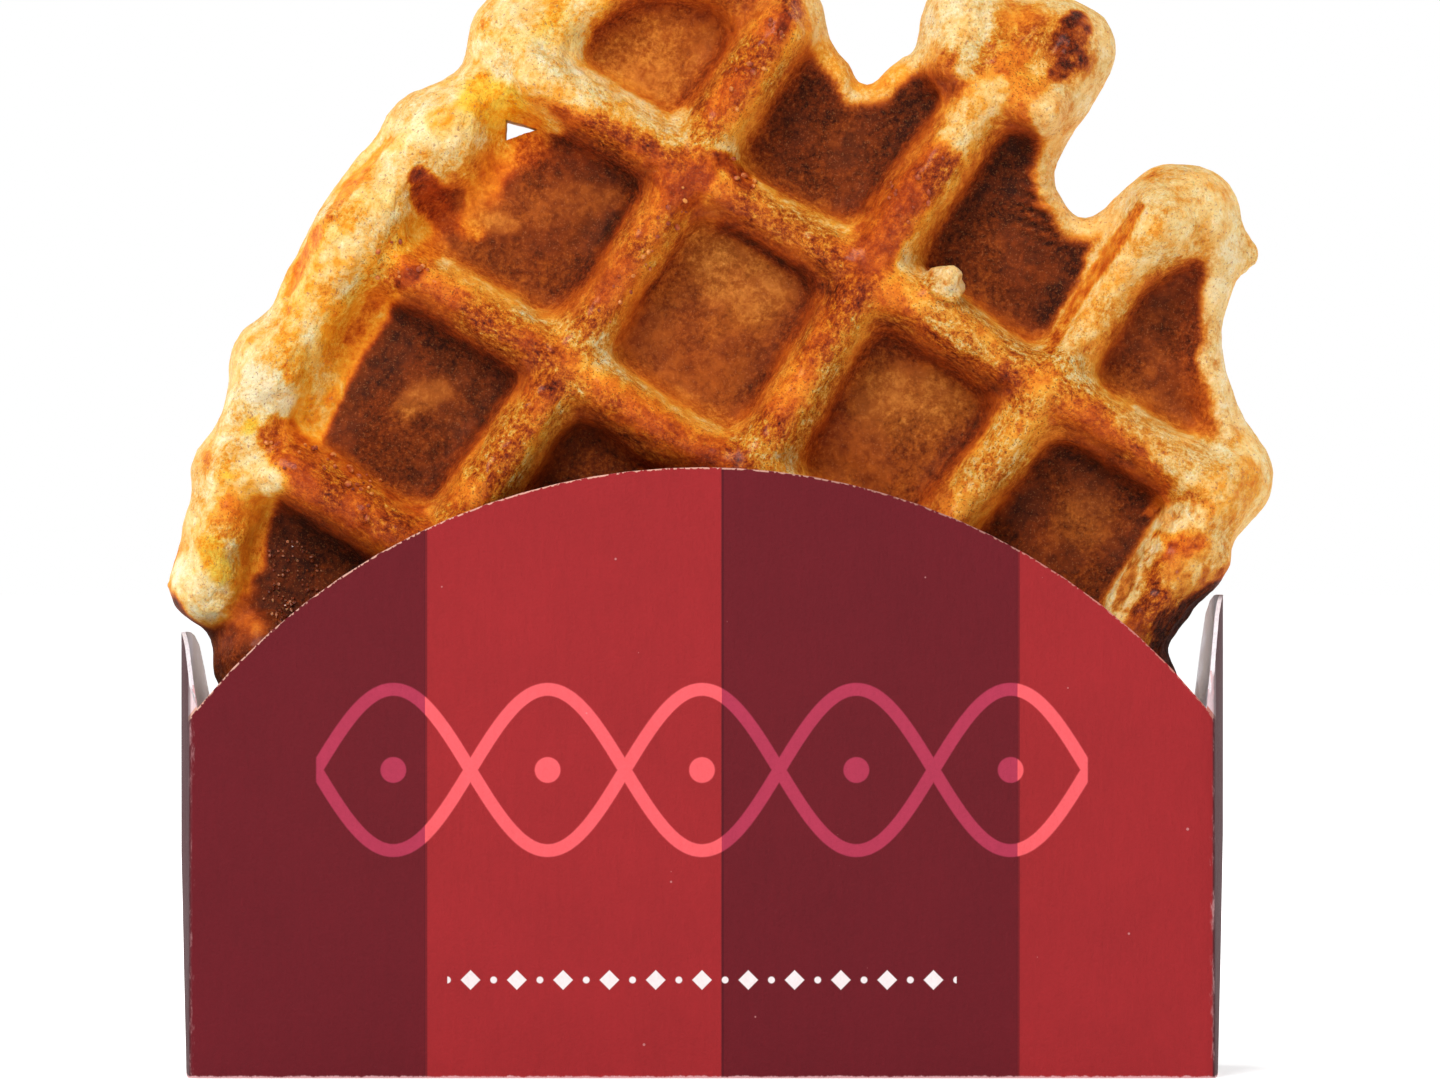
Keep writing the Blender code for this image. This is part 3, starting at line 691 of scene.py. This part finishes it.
def paintWaffle(piece):
    look = paintLook
    places = vectorsOf(piece.data.vertices, "co")
    height = np.abs(places[:, 1]) / mm
    onFront = places[:, 1] < 0.0
    broad = crustNoise(places, "broad")
    patchy = crustNoise(places, "patchy")
    fine = crustNoise(places, "fine")
    broken = rise(-0.35, 0.3, crustNoise(places, "broken"))
    x = places[:, 0] / mm
    z = places[:, 2] / mm
    warpX = look["warp"] * crustNoise(places, "warpX") + look["fineWarp"] * crustNoise(places, "fineWarpX")
    warpZ = look["warp"] * crustNoise(places, "warpZ") + look["fineWarp"] * crustNoise(places, "fineWarpZ")
    tone, dull = latticeBakeAndPaintedLight(places, height, patchy, broken)
    tone += look["broad"] * broad + look["patchy"] * patchy + look["fine"] * fine
    tone -= look["wrinkle"] * wrinklesAt(places)
    # the pale dough of the outline
    width = look["edgeWidth"]
    pale = 1.0 - rise(0.6 * width, 1.5 * width, edgeDistances(places) + 0.8 * patchy)
    pale *= rise(*look["edgeFrom"], z)
    tone += pale * (look["edgeTone"] + 0.05 * patchy - tone)
    dull += pale * (look["edgeDull"] - dull)
    for name, (strokeTone, strokeDull, strength, low, line) in bakeAndShadeStrokes.items():
        thin = max(radius for lineX, lineZ, radius in line) < look["thinStroke"]
        warp = look["thinWarp"] if thin else 1.0
        soft = 0.6 if name in strokeTops else 0.3
        mask = strength * strokeMask(x + warp * warpX, z + warp * warpZ, line, soft)
        if strokeTone > 0.5 and low > 3.5:
            mask *= 0.62 + 0.38 * broken
        mask *= rise(low - 0.8, low + 0.8, height)
        if name in strokeTops:
            mask *= 1.0 - rise(strokeTops[name] - 0.6, strokeTops[name] + 0.6, height)
        if name not in onBothSides:
            mask *= onFront
        isPale = 1.0 if strokeTone < look["paleBelow"] else 0.0
        uneven = (0.05 + 0.12 * isPale) * patchy + (0.05 + 0.04 * isPale) * broad
        uneven += (0.03 + 0.10 * isPale) * fine
        tone += mask * (strokeTone + uneven - tone)
        dull += mask * (strokeDull - dull)
        pale += mask * (isPale - pale)
    yolky = rise(0.0, 0.45, crustNoise(places, "yolk"))
    yolky *= pale * strokeMask(x + warpX, z + warpZ, bakeAndShadeStrokes["rim"][-1])
    dull -= look["rimYolk"] * yolky
    tone += 0.05 * yolky
    # painted shade: the places that the crumble noise sinks get darker
    pits = rise(0.15, 0.45, -crustNoise(places, "crumble")) * (height > 4.0) * onFront
    for name, depth in pitShadeTones.items():
        tone += depth * pits * strokeAt(places, name)
    offUp, offDown = ridgeOffsets(places)
    storeValues(piece, "tone", np.clip(tone, 0.0, 1.0))
    storeValues(piece, "dull", np.clip(dull, 0.0, 1.0))
    storeValues(piece, "yolk", np.clip(-dull, 0.0, 1.0))
    storeValues(piece, "crest", rise(*setsIn["crest"], height) * (1.0 - 0.8 * pale))
    storeValues(piece, "pale", np.clip(pale, 0.0, 1.0))
    storeValues(piece, "upRight", rise(-1.5, 1.5, np.abs(offDown) - np.abs(offUp)))


# The crust's finish. Ramps run from pale dough to the darkest bake.
crustFinish = {
    "glazed": (
        (0.00, (255, 242, 200)),
        (0.12, (251, 227, 168)),
        (0.24, (247, 204, 124)),
        (0.36, (243, 170, 52)),
        (0.48, (232, 132, 30)),
        (0.60, (204, 92, 18)),
        (0.72, (166, 60, 12)),
        (0.85, (118, 36, 10)),
        (1.00, (58, 20, 9)),
    ),
    "baked": (
        (0.00, (250, 226, 178)),
        (0.20, (242, 198, 122)),
        (0.40, (214, 134, 54)),
        (0.60, (162, 86, 28)),
        (0.80, (112, 50, 16)),
        (1.00, (52, 23, 12)),
    ),
    "yolk": (255, 230, 52),
    "yolkShare": 0.85,
    "darkSpeck": (142, 58, 26),
    # painted glints: light specks that stand in for sparkle on the crust
    "paintedGlint": (232, 156, 92),
    "paintedGlintShare": 0.13,
    "paleSpeck": (176, 104, 84),
    "paleSpeckShare": 0.65,
    "fibreShares": (0.04, 0.13),  # off the crests, and what the crests add
    "grainShares": (0.11, 0.06),
    "blotchShare": 0.085,
    "fibreRelief": (0.02, 0.05),
    "grainRelief": (0.045, 0.05),
    "dimpleRelief": 0.42,
    "reliefDepth": 0.0013,  # metres
    "roughness": (0.42, 0.70),
    "coat": 0.12,
    "constants": {
        "Coat Roughness": 0.22,
        "Specular IOR Level": 0.08,
        "Subsurface Weight": 0.25,
        "Subsurface Radius": (1.0, 0.45, 0.2),
        "Subsurface Scale": 0.0012,
    },
}


def onCrests(crest, shares):
    # a share that grows from its first value off the crests by its second on them
    return timesPlus(crest, shares[1], shares[0])


def fibresAlong(step):
    # noise stretched along one direction of the ridges
    turn = math.atan2(step[1], step[0])
    return noiseTexture(objectPlace((450.0, 1000.0, 1000.0), (0.0, turn, 0.0)), 1.7, 3.0, 0.7)


def crustMaterial():
    look = crustFinish
    material, shader = newMaterial("waffle crust", look["constants"])
    place = objectPlace()
    tone = attributeValue("tone")
    crest = attributeValue("crest")
    pale = attributeValue("pale")
    fibreMix = addNode("ShaderNodeMix", data_type="FLOAT")
    feed(fibreMix.inputs[0], attributeValue("upRight"))
    feed(fibreMix.inputs[2], fibresAlong(waffleLook["stepDownRight"]))
    feed(fibreMix.inputs[3], fibresAlong(waffleLook["stepUpRight"]))
    patches = mapRange(noiseTexture(place, 0.16, 2.0, 0.5), 0.38, 0.62, 0.35, 1.25)
    fibre = times(centred(fibreMix.outputs[0]), patches)
    grain = times(centred(noiseTexture(place, 2.0, 4.0, 0.75)), patches)
    blotch = centred(noiseTexture(place, 0.8, 3.0, 0.6, 0.6))
    mottled = timesPlus(fibre, onCrests(crest, look["fibreShares"]), tone)
    mottled = timesPlus(grain, onCrests(crest, look["grainShares"]), mottled)
    mottled = timesPlus(blotch, look["blotchShare"], mottled)
    glazed = colourRamp(mottled, look["glazed"])
    baked = colourRamp(mottled, look["baked"])
    colour = mixColours(attributeValue("dull"), glazed, baked)
    yolkShare = times(attributeValue("yolk"), look["yolkShare"])
    colour = mixColours(yolkShare, colour, look["yolk"], "MULTIPLY")
    # dark specks: red-brown on the crests, fine and pinkish on the pale dough
    specks = noiseTexture(place, 4.2, 1.0, 0.5)
    darkSpecks = times(mapRange(specks, 0.60, 0.68), onCrests(crest, (0.15, 0.6)))
    colour = mixColours(darkSpecks, colour, look["darkSpeck"])
    # painted glints: light specks on the low tail of the speck noise
    paintedGlints = times(mapRange(specks, 0.38, 0.31), look["paintedGlintShare"])
    colour = mixColours(paintedGlints, colour, look["paintedGlint"])
    paleSpecks = times(mapRange(noiseTexture(place, 2.6, 2.0, 0.6), 0.59, 0.70), pale)
    paleSpecks = times(paleSpecks, look["paleSpeckShare"])
    colour = mixColours(paleSpecks, colour, look["paleSpeck"])
    feed(shader.inputs["Base Color"], colour)
    feed(shader.inputs["Roughness"], mapRange(grain, -1.0, 1.0, *look["roughness"], False))
    feed(shader.inputs["Coat Weight"], times(crest, look["coat"]))
    relief = times(fibre, onCrests(crest, look["fibreRelief"]))
    relief = timesPlus(grain, onCrests(crest, look["grainRelief"]), relief)
    dimples = noiseTexture(place, 1.1, 3.0, 0.6, 0.4)
    relief = timesPlus(dimples, times(pale, look["dimpleRelief"]), relief)
    feed(shader.inputs["Normal"], bump(relief, look["reliefDepth"]))
    return material


def makeWaffle():
    piece = shapeWaffle()
    roughenWaffle(piece)
    paintWaffle(piece)
    piece.data.shade_smooth()
    piece.data.materials.clear()
    piece.data.materials.append(crustMaterial())
    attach(piece, "root")
    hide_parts("waffle")
    print("waffle:", len(piece.data.polygons), "faces")


# Loose sugar and crumbs that stick to the crust: how many, their sizes, their seed and where they
# lie, as lines of (x, z, radius).
looseGrains = {
    "sugar_grains": (240, (0.15, 0.3), 11, (
        ((-48.6, 61.0, 2.4), (-47.6, 56.0, 3.8), (-46.4, 50.0, 4.2)),
    )),
    "crust_crumbs": (90, (0.18, 0.42), 12, (
        ((1.6, 107.8, 1.6), (5.8, 104.4, 1.2)),
        ((24.0, 102.6, 2.6), (28.4, 108.0, 2.0)),
        ((-36.0, 95.4, 2.6), (-33.6, 93.6, 1.6)),
        ((-50.0, 74.0, 2.4), (-40.0, 68.0, 2.4)),
        ((8.0, 122.0, 1.8), (3.0, 114.0, 1.8)),
        ((-12.0, 89.0, 1.4), (-1.0, 105.0, 1.8)),
    )),
}

grainLook = {
    "stretch": (0.7, 1.25),
    "lift": 0.35,  # how far a grain's middle stands over the skin, in its own size
    "inFront": -2.0,
    "facing": 0.2,
    "sugarRamp": ((0.36, (92, 36, 18)), (0.5, (128, 62, 34)), (0.62, (196, 134, 96))),
    "sugar": {
        "Roughness": 0.14,
        "Subsurface Weight": 0.6,
        "Subsurface Radius": (1.0, 0.5, 0.25),
        "Subsurface Scale": 0.0006,
    },
    "crumbRamp": ((0.32, (120, 36, 14)), (0.5, (180, 78, 26)), (0.64, (228, 146, 66))),
    "crumb": {"Roughness": 0.45},
}


def scatterGrains(name, material):
    # squashed low-poly grains on the crust's own points, half sunk into it
    count, sizes, seed, lines = looseGrains[name]
    host = bpy.data.objects["waffle_dough"]
    places = vectorsOf(host.data.vertices, "co")
    normals = vectorsOf(host.data.vertices, "normal")
    mask = np.zeros(len(places))
    for line in lines:
        mask = np.maximum(mask, strokeMask(places[:, 0] / mm, places[:, 2] / mm, line))
    mask *= (places[:, 1] < grainLook["inFront"] * mm) * (normals[:, 1] < grainLook["facing"])
    chance = np.random.default_rng(seed)
    chosen = chance.choice(len(places), count, replace=False, p=mask / mask.sum())
    deselectAll()
    bpy.ops.mesh.primitive_ico_sphere_add(subdivisions=1, radius=1.0)
    grain = bpy.context.object
    copies = []
    for index in chosen:
        size = chance.uniform(*sizes) * mm
        scale = Vector(chance.uniform(*grainLook["stretch"], 3)) * size
        turn = Euler(chance.uniform(0.0, math.tau, 3))
        copy = bpy.data.objects.new(name, grain.data.copy())
        spot = Vector(places[index]) + Vector(normals[index]) * size * grainLook["lift"]
        copy.matrix_world = Matrix.LocRotScale(spot, turn, scale)
        linkObject(copy)
        copies.append(copy)
    bpy.data.objects.remove(grain)
    deselectAll()
    for copy in copies:
        copy.select_set(True)
    bpy.context.view_layer.objects.active = copies[0]
    bpy.ops.object.join()
    piece = bpy.context.object
    bpy.ops.object.transform_apply(location=True, rotation=True, scale=True)
    piece.name = name
    piece.data.materials.append(material)
    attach(piece, "root")
    print(name + ":", len(piece.data.polygons), "faces")


def sugarMaterial():
    material, shader = newMaterial("caramel sugar", grainLook["sugar"])
    tint = noiseTexture(objectPlace(), 0.9, 2.0)
    feed(shader.inputs["Base Color"], colourRamp(tint, grainLook["sugarRamp"]))
    return material


def crumbMaterial():
    material, shader = newMaterial("toasted crumbs", grainLook["crumb"])
    tint = noiseTexture(objectPlace(), 0.7, 3.0)
    feed(shader.inputs["Base Color"], colourRamp(tint, grainLook["crumbRamp"]))
    rough = noiseTexture(objectPlace(), 5.0, 2.0)
    feed(shader.inputs["Normal"], bump(rough, 0.0001))
    return material


def makeGrains():
    scatterGrains("sugar_grains", sugarMaterial())
    scatterGrains("crust_crumbs", crumbMaterial())


# The sleeve.
sleeveLook = {
    "subdivisions": 2,
    "smoothAngle": 40.0,
    "halfWidth": 58.9,
    "halfDepth": 12.9,
    "baseThickness": 0.8,
    "foldWidth": 0.75,
    "domeCrown": 71.3,
    "domeRadius": 75.7,
    "cutLine": 0.2,
    "beyondCut": 0.25,
    "stripeEdges": (-32.3, 2.3, 36.8),
    "lastStripe": 59.6,  # where the right fold ends the bright stripe
    "darkBoard": (103, 23, 32),
    "brightBoard": (154, 37, 41),
    "overprint": (72, 16, 26),
    "darkInk": (172, 52, 78),
    "brightInk": (238, 92, 98),
    "whiteInk": (240, 228, 228),
    "cutColour": (232, 178, 158),
    # the pale corners beyond the dome cut: partly rubbed board, partly painted highlight
    "cornerWearAndHighlight": (226, 206, 212),
    "dustColour": (214, 150, 150),
    # painted shade on the folds
    "foldShadeColour": (52, 12, 20),
    # the pale band on the fold corners: partly rubbed wear, partly painted highlight
    "wearAndHighlightColour": (222, 170, 172),
    "waveCentre": 36.0,
    "waveRoom": 14.0,
    "waveLift": 9.4,
    "waveLength": 36.0,
    "waveWidth": 0.75,
    "waveReach": 45.0,
    "waveStart": 9.0,
    "beadRadius": 1.5,
    "rowHeight": 11.5,
    "rowStep": 5.4,
    "rowReach": 27.0,
    "rowDiamond": 1.15,
    "rowDot": 0.39,
    "softInk": 0.1,  # how far an ink's edge blurs
    "printed": {"Specular IOR Level": 0.12},
}

bareLook = {
    "shades": ((232, 227, 238), (250, 248, 252)),
    "stain": (196, 176, 150),
    "edgeShades": ((236, 190, 170), (246, 216, 200)),
    "nick": (150, 60, 62),
    "sideEdge": (244, 238, 244),
    "bare": {
        "Roughness": 0.72,
        "Subsurface Weight": 0.6,  # light comes through the thin board
        "Subsurface Radius": (1.0, 0.96, 1.0),
        "Subsurface Scale": 0.0015,
    },
    "cut": {"Roughness": 0.8},
}


def sortBoardFaces(piece):
    # 0 is the printed outside, 1 the bare inside and 2 the cut edge
    halfWidth = sleeveLook["halfWidth"]
    halfDepth = sleeveLook["halfDepth"]
    for face in piece.data.polygons:
        x = face.center.x / mm
        y = face.center.y / mm
        offX = x - max(-halfWidth, min(halfWidth, x))
        offY = y - max(-halfDepth, min(halfDepth, y))
        outward = Vector((offX, offY, 0.0))
        if face.center.z < sleeveLook["baseThickness"] * mm and abs(face.normal.z) > 0.7:
            outward = Vector((0.0, 0.0, -1.0))
        facing = face.normal.dot(outward.normalized())
        face.material_index = 0 if facing > 0.35 else 1 if facing < -0.35 else 2


def boardFibre():
    # soft mottling, pale dust and fine relief that all three board surfaces share
    group = bpy.data.node_groups.get("board fibre")
    if group:
        return group
    group = bpy.data.node_groups.new("board fibre", "ShaderNodeTree")
    for name in ("Mottle", "Dust", "Relief"):
        group.interface.new_socket(name=name, in_out="OUTPUT", socket_type="NodeSocketFloat")
    openTrees.append(group)
    place = objectPlace()
    upright = objectPlace((1000.0, 1000.0, 220.0))
    cloud = centred(noiseTexture(place, 0.07, 3.0, 0.6))
    fibres = centred(noiseTexture(upright, 1.6, 3.0, 0.7))
    pits = centred(noiseTexture(place, 2.6, 2.0, 0.6))
    mottle = timesPlus(pits, 0.4, times(cloud, 0.6))
    mottle = timesPlus(fibres, 0.5, mottle)
    cells = addNode("ShaderNodeTexVoronoi")
    feed(cells.inputs["Vector"], place)
    feed(cells.inputs["Scale"], 0.3)
    chance = addNode("ShaderNodeSeparateColor")
    feed(chance.inputs[0], cells.outputs["Color"])
    size = mapRange(chance.outputs[0], 0.55, 1.0, 0.0, 0.055, False)
    near = minus(size, cells.outputs["Distance"])
    dust = mapRange(near, -0.005, 0.012)
    relief = timesPlus(fibres, 0.5, times(pits, 0.5))
    exits = addNode("NodeGroupOutput")
    for socket, value in zip(exits.inputs, (mottle, dust, relief)):
        feed(socket, value)
    openTrees.pop()
    return group


def addBoardFibre():
    return addNode("ShaderNodeGroup", node_tree=boardFibre()).outputs


def softEdge(distance, border, blur):
    # 1 within the border and 0 beyond it
    return mapRange(distance, border - blur, border + blur, 1.0, 0.0)


def waveMask(x, z, sign):
    # a thin ribbon that swings up and down along the panel, of even width
    turn = math.tau / sleeveLook["waveLength"]
    angle = times(minus(x, sleeveLook["waveStart"]), turn)
    lift = sleeveLook["waveLift"] * sign
    centre = timesPlus(sums("SINE", angle), lift, sleeveLook["waveCentre"])
    slope = times(sums("COSINE", angle), lift * turn)
    stretch = sums("SQRT", timesPlus(slope, slope, 1.0))
    away = sums("DIVIDE", apart(z, centre), stretch)
    return softEdge(away, sleeveLook["waveWidth"], sleeveLook["softInk"])


def repeated(x, step, offset=0.0):
    # the distance along x from the nearest place of a row with this step
    turns = sums("DIVIDE", minus(x, offset), step)
    return times(apart(turns, sums("ROUND", turns)), step)


def printStripes(x):
    # the board's broad upright stripes, with a hair-fine overprint where two inks meet
    look = sleeveLook
    first, second, third = look["stripeEdges"]
    bright = minus(isOver(x, first), isOver(x, second))
    bright = sums("ADD", bright, isOver(x, third))
    bright = minus(bright, isOver(x, look["lastStripe"]))
    colour = mixColours(bright, look["darkBoard"], look["brightBoard"])
    seams = 0.0
    for edge in look["stripeEdges"]:
        seam = mapRange(apart(x, edge + 0.1), 0.1, 0.22, 1.0, 0.0)
        seams = sums("ADD", seam, seams)
    return bright, mixColours(times(seams, 0.6), colour, look["overprint"])


def printOrnament(x, z, sideways, bright, colour):
    # two crossing ribbons with beads in their eyes, in the paler ink of each stripe
    look = sleeveLook
    onPanel = softEdge(sideways, look["waveReach"], look["softInk"])
    inBand = sums("LESS_THAN", apart(z, look["waveCentre"]), look["waveRoom"])
    ribbons = sums("MAXIMUM", waveMask(x, z, 1.0), waveMask(x, z, -1.0))
    quarter = look["waveLength"] / 4.0
    beadX = repeated(x, 2.0 * quarter, look["waveStart"] + quarter)
    beadZ = minus(z, look["waveCentre"])
    beads = softEdge(lengthOf(beadX, beadZ), look["beadRadius"], look["softInk"])
    ornament = times(sums("MAXIMUM", ribbons, beads), times(onPanel, inBand))
    ink = mixColours(bright, look["darkInk"], look["brightInk"])
    return mixColours(ornament, colour, ink)


def printRow(x, z, sideways, colour):
    # a white row of diamonds and dots low on the panel
    look = sleeveLook
    step = look["rowStep"]
    rowZ = apart(z, look["rowHeight"])
    diamond = sums("ADD", repeated(x, step), rowZ)
    dot = lengthOf(repeated(x, step, step / 2.0), rowZ)
    diamonds = softEdge(diamond, look["rowDiamond"], 0.08)
    row = sums("MAXIMUM", diamonds, softEdge(dot, look["rowDot"], 0.07))
    row = times(row, sums("LESS_THAN", sideways, look["rowReach"] + 0.5 * step))
    return mixColours(row, colour, look["whiteInk"])


def cutDome(x, y, z, place, colour):
    # the pale die-cut line along the dome, worn into dashes, and the pale corners beyond it, partly rubbed
    # board and partly painted highlight
    look = sleeveLook
    below = minus(z, look["domeCrown"] - look["domeRadius"])
    toCut = minus(look["domeRadius"], lengthOf(x, below))
    dashes = noiseTexture(place, 2.0, 1.0, 0.6)
    width = times(mapRange(dashes, 0.35, 0.6), look["cutLine"])
    frontOrBack = isOver(sums("ABSOLUTE", y), look["halfDepth"])
    atCut = mapRange(minus(toCut, width), -0.04, 0.06, 1.0, 0.0)
    atCut = times(atCut, mapRange(x, -10.0, 30.0, 0.8, 0.35))
    colour = mixColours(times(atCut, frontOrBack), colour, look["cutColour"])
    beyond = times(sums("LESS_THAN", toCut, -look["beyondCut"]), frontOrBack)
    return mixColours(times(beyond, 0.8), colour, look["cornerWearAndHighlight"])


def foldShadeWearAndHighlight(y, z, sideways, colour):
    # painted shade darkens the board beyond the last stripe, round the folds; their corners get a pale
    # band that is partly rubbed wear and partly painted highlight
    look = sleeveLook
    foldShade = mapRange(sideways, look["lastStripe"] - 0.1, look["lastStripe"] + 0.3)
    colour = mixColours(times(foldShade, 0.75), colour, look["foldShadeColour"])
    cornerX = minus(sideways, look["halfWidth"] + 0.4)
    cornerY = minus(sums("ABSOLUTE", y), look["halfDepth"] + 0.4)
    toFold = sums("MINIMUM", lengthOf(cornerX, cornerY), times(z, 1.6))
    worn = noiseTexture(objectPlace((1000.0, 1000.0, 300.0)), 0.9, 4.0, 0.75)
    ragged = timesPlus(worn, 1.1, toFold)
    wearAndHighlight = mapRange(ragged, look["foldWidth"], look["foldWidth"] + 0.35, 0.85, 0.0)
    return mixColours(wearAndHighlight, colour, look["wearAndHighlightColour"])


def printedBoard():
    material, shader = newMaterial("printed board", sleeveLook["printed"])
    mottle, dust, relief = addBoardFibre()
    place = objectPlace()
    split = addNode("ShaderNodeSeparateXYZ")
    feed(split.inputs[0], place)
    x, y, z = split.outputs
    sideways = sums("ABSOLUTE", x)
    bright, colour = printStripes(x)
    colour = printOrnament(x, z, sideways, bright, colour)
    colour = printRow(x, z, sideways, colour)
    colour = cutDome(x, y, z, place, colour)
    shade = addNode("ShaderNodeHueSaturation")
    feed(shade.inputs["Value"], mapRange(mottle, -1.5, 1.5, 0.88, 1.12, False))
    feed(shade.inputs["Color"], colour)
    colour = mixColours(times(dust, 0.55), shade.outputs[0], sleeveLook["dustColour"])
    colour = foldShadeWearAndHighlight(y, z, sideways, colour)
    feed(shader.inputs["Base Color"], colour)
    feed(shader.inputs["Roughness"], mapRange(mottle, -1.0, 1.0, 0.5, 0.62, False))
    feed(shader.inputs["Normal"], bump(relief, 0.00004))
    return material


def mottledBoard(mottle, shades):
    return mixColours(mapRange(mottle, -1.2, 1.2), *shades)


def bareBoard():
    look = bareLook
    material, shader = newMaterial("bare board", look["bare"])
    fibre = addBoardFibre()
    stained = mapRange(noiseTexture(objectPlace(), 0.06, 4.0, 0.6, 0.4), 0.52, 0.66, 0.0, 0.5)
    colour = mottledBoard(fibre["Mottle"], look["shades"])
    feed(shader.inputs["Base Color"], mixColours(stained, colour, look["stain"]))
    feed(shader.inputs["Normal"], bump(fibre["Relief"], 0.00006))
    return material


def cutBoard():
    look = bareLook
    material, shader = newMaterial("cut board edge", look["cut"])
    fibre = addBoardFibre()
    nicks = mapRange(noiseTexture(objectPlace(), 1.4, 2.0, 0.6), 0.45, 0.56, 0.0, 0.85)
    split = addNode("ShaderNodeSeparateXYZ")
    feed(split.inputs[0], objectPlace())
    onSide = isOver(sums("ABSOLUTE", split.outputs[0]), sleeveLook["halfWidth"] - 0.6)
    colour = mottledBoard(fibre["Mottle"], look["edgeShades"])
    colour = mixColours(nicks, colour, look["nick"])
    colour = mixColours(times(onSide, 0.85), colour, look["sideEdge"])
    feed(shader.inputs["Base Color"], colour)
    feed(shader.inputs["Normal"], bump(fibre["Relief"], 0.00008))
    return material


def makeSleeve():
    piece = copyOfNode("sleeve", "paper_sleeve")
    makeActive(piece)
    setMode("EDIT")
    bpy.ops.mesh.select_all(action="SELECT")
    bpy.ops.mesh.subdivide(number_cuts=sleeveLook["subdivisions"])
    setMode("OBJECT")
    sortBoardFaces(piece)
    for material in (printedBoard(), bareBoard(), cutBoard()):
        piece.data.materials.append(material)
    bpy.ops.object.shade_smooth_by_angle(angle=math.radians(sleeveLook["smoothAngle"]))
    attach(piece, "root")
    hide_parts("sleeve")
    print("sleeve:", len(piece.data.polygons), "faces")


# The stage: a pale floor, a softbox high in front, a weak one low in front and two behind that
# light the edges. Its places and lengths are metres, but for the camera's lens and sensor.
stageLook = {
    "cameraPlace": (0.0021, -1.044, 0.0627),
    "lens": 220.7,
    "sensor": 36.0,
    "floorRadius": 9.0,
    "floor": {
        "Base Color": (0.9, 0.9, 0.9, 1.0),
        "Roughness": 0.9,
        "Emission Color": (1.0, 1.0, 1.0, 1.0),
    },
    "floorGlow": 0.2,  # what the floor lends to the object
    "floorSeen": (0.5, 0.9),  # what the camera sees of it, near the object and far from it
    "shadowReach": (0.06, 0.4),
    "roomLight": 0.22,
    "aim": (0.0, 0.0, 0.07),
}

# Softboxes: place in metres, size in metres, power in watts.
softboxes = {
    "key": ((-0.35, -0.8, 0.95), 0.5, 12.5),
    "front fill": ((0.5, -1.3, 0.25), 1.2, 3.0),
    "left rear": ((-0.9, 0.55, 0.45), 0.9, 7.0),
    "right rear": ((0.9, 0.55, 0.45), 0.9, 7.0),
}


def seenOrLent(lent, seen):
    # one value for what the camera sees and one for the light that reaches the object
    path = addNode("ShaderNodeLightPath")
    return mapRange(path.outputs["Is Camera Ray"], 0.0, 1.0, lent, seen, False)


def makeFloor():
    deselectAll()
    bpy.ops.mesh.primitive_circle_add(vertices=96, radius=stageLook["floorRadius"], fill_type="NGON")
    floor = bpy.context.object
    floor.name = "floor"
    material, shader = newMaterial("pale floor", stageLook["floor"])
    away = addNode("ShaderNodeVectorMath", operation="LENGTH")
    feed(away.inputs[0], objectPlace((1.0, 1.0, 1.0)))
    seen = mapRange(away.outputs["Value"], *stageLook["shadowReach"], *stageLook["floorSeen"])
    feed(shader.inputs["Emission Strength"], seenOrLent(stageLook["floorGlow"], seen))
    floor.data.materials.append(material)


def makeRoom():
    world = bpy.data.worlds.new("studio")
    bpy.context.scene.world = world
    world.use_nodes = True
    background = world.node_tree.nodes["Background"]
    background.inputs["Color"].default_value = (1.0, 1.0, 1.0, 1.0)
    openTrees.append(world.node_tree)
    feed(background.inputs["Strength"], seenOrLent(stageLook["roomLight"], 1.0))


def addSoftbox(name, place, size, power):
    lamp = bpy.data.lights.new(name, "AREA")
    lamp.shape = "SQUARE"
    lamp.size = size
    lamp.energy = power
    softbox = bpy.data.objects.new(name, lamp)
    softbox.location = place
    towards = Vector(stageLook["aim"]) - Vector(place)
    softbox.rotation_euler = towards.to_track_quat("-Z", "Y").to_euler()
    softbox.visible_camera = False
    linkObject(softbox)


def placeCamera():
    lens = bpy.data.cameras.new("photo camera")
    lens.lens = stageLook["lens"]
    lens.sensor_width = stageLook["sensor"]
    lens.clip_end = 50.0
    camera = bpy.data.objects.new("photo camera", lens)
    camera.location = stageLook["cameraPlace"]
    camera.rotation_euler = (math.pi / 2, 0.0, 0.0)
    linkObject(camera)
    bpy.context.scene.camera = camera


def makeStage():
    makeFloor()
    makeRoom()
    for name, (place, size, power) in softboxes.items():
        addSoftbox(name, place, size, power)
    placeCamera()
    bpy.context.scene.view_settings.view_transform = "Standard"
    print("stage: set")


makeWaffle()
makeGrains()
makeSleeve()
makeStage()
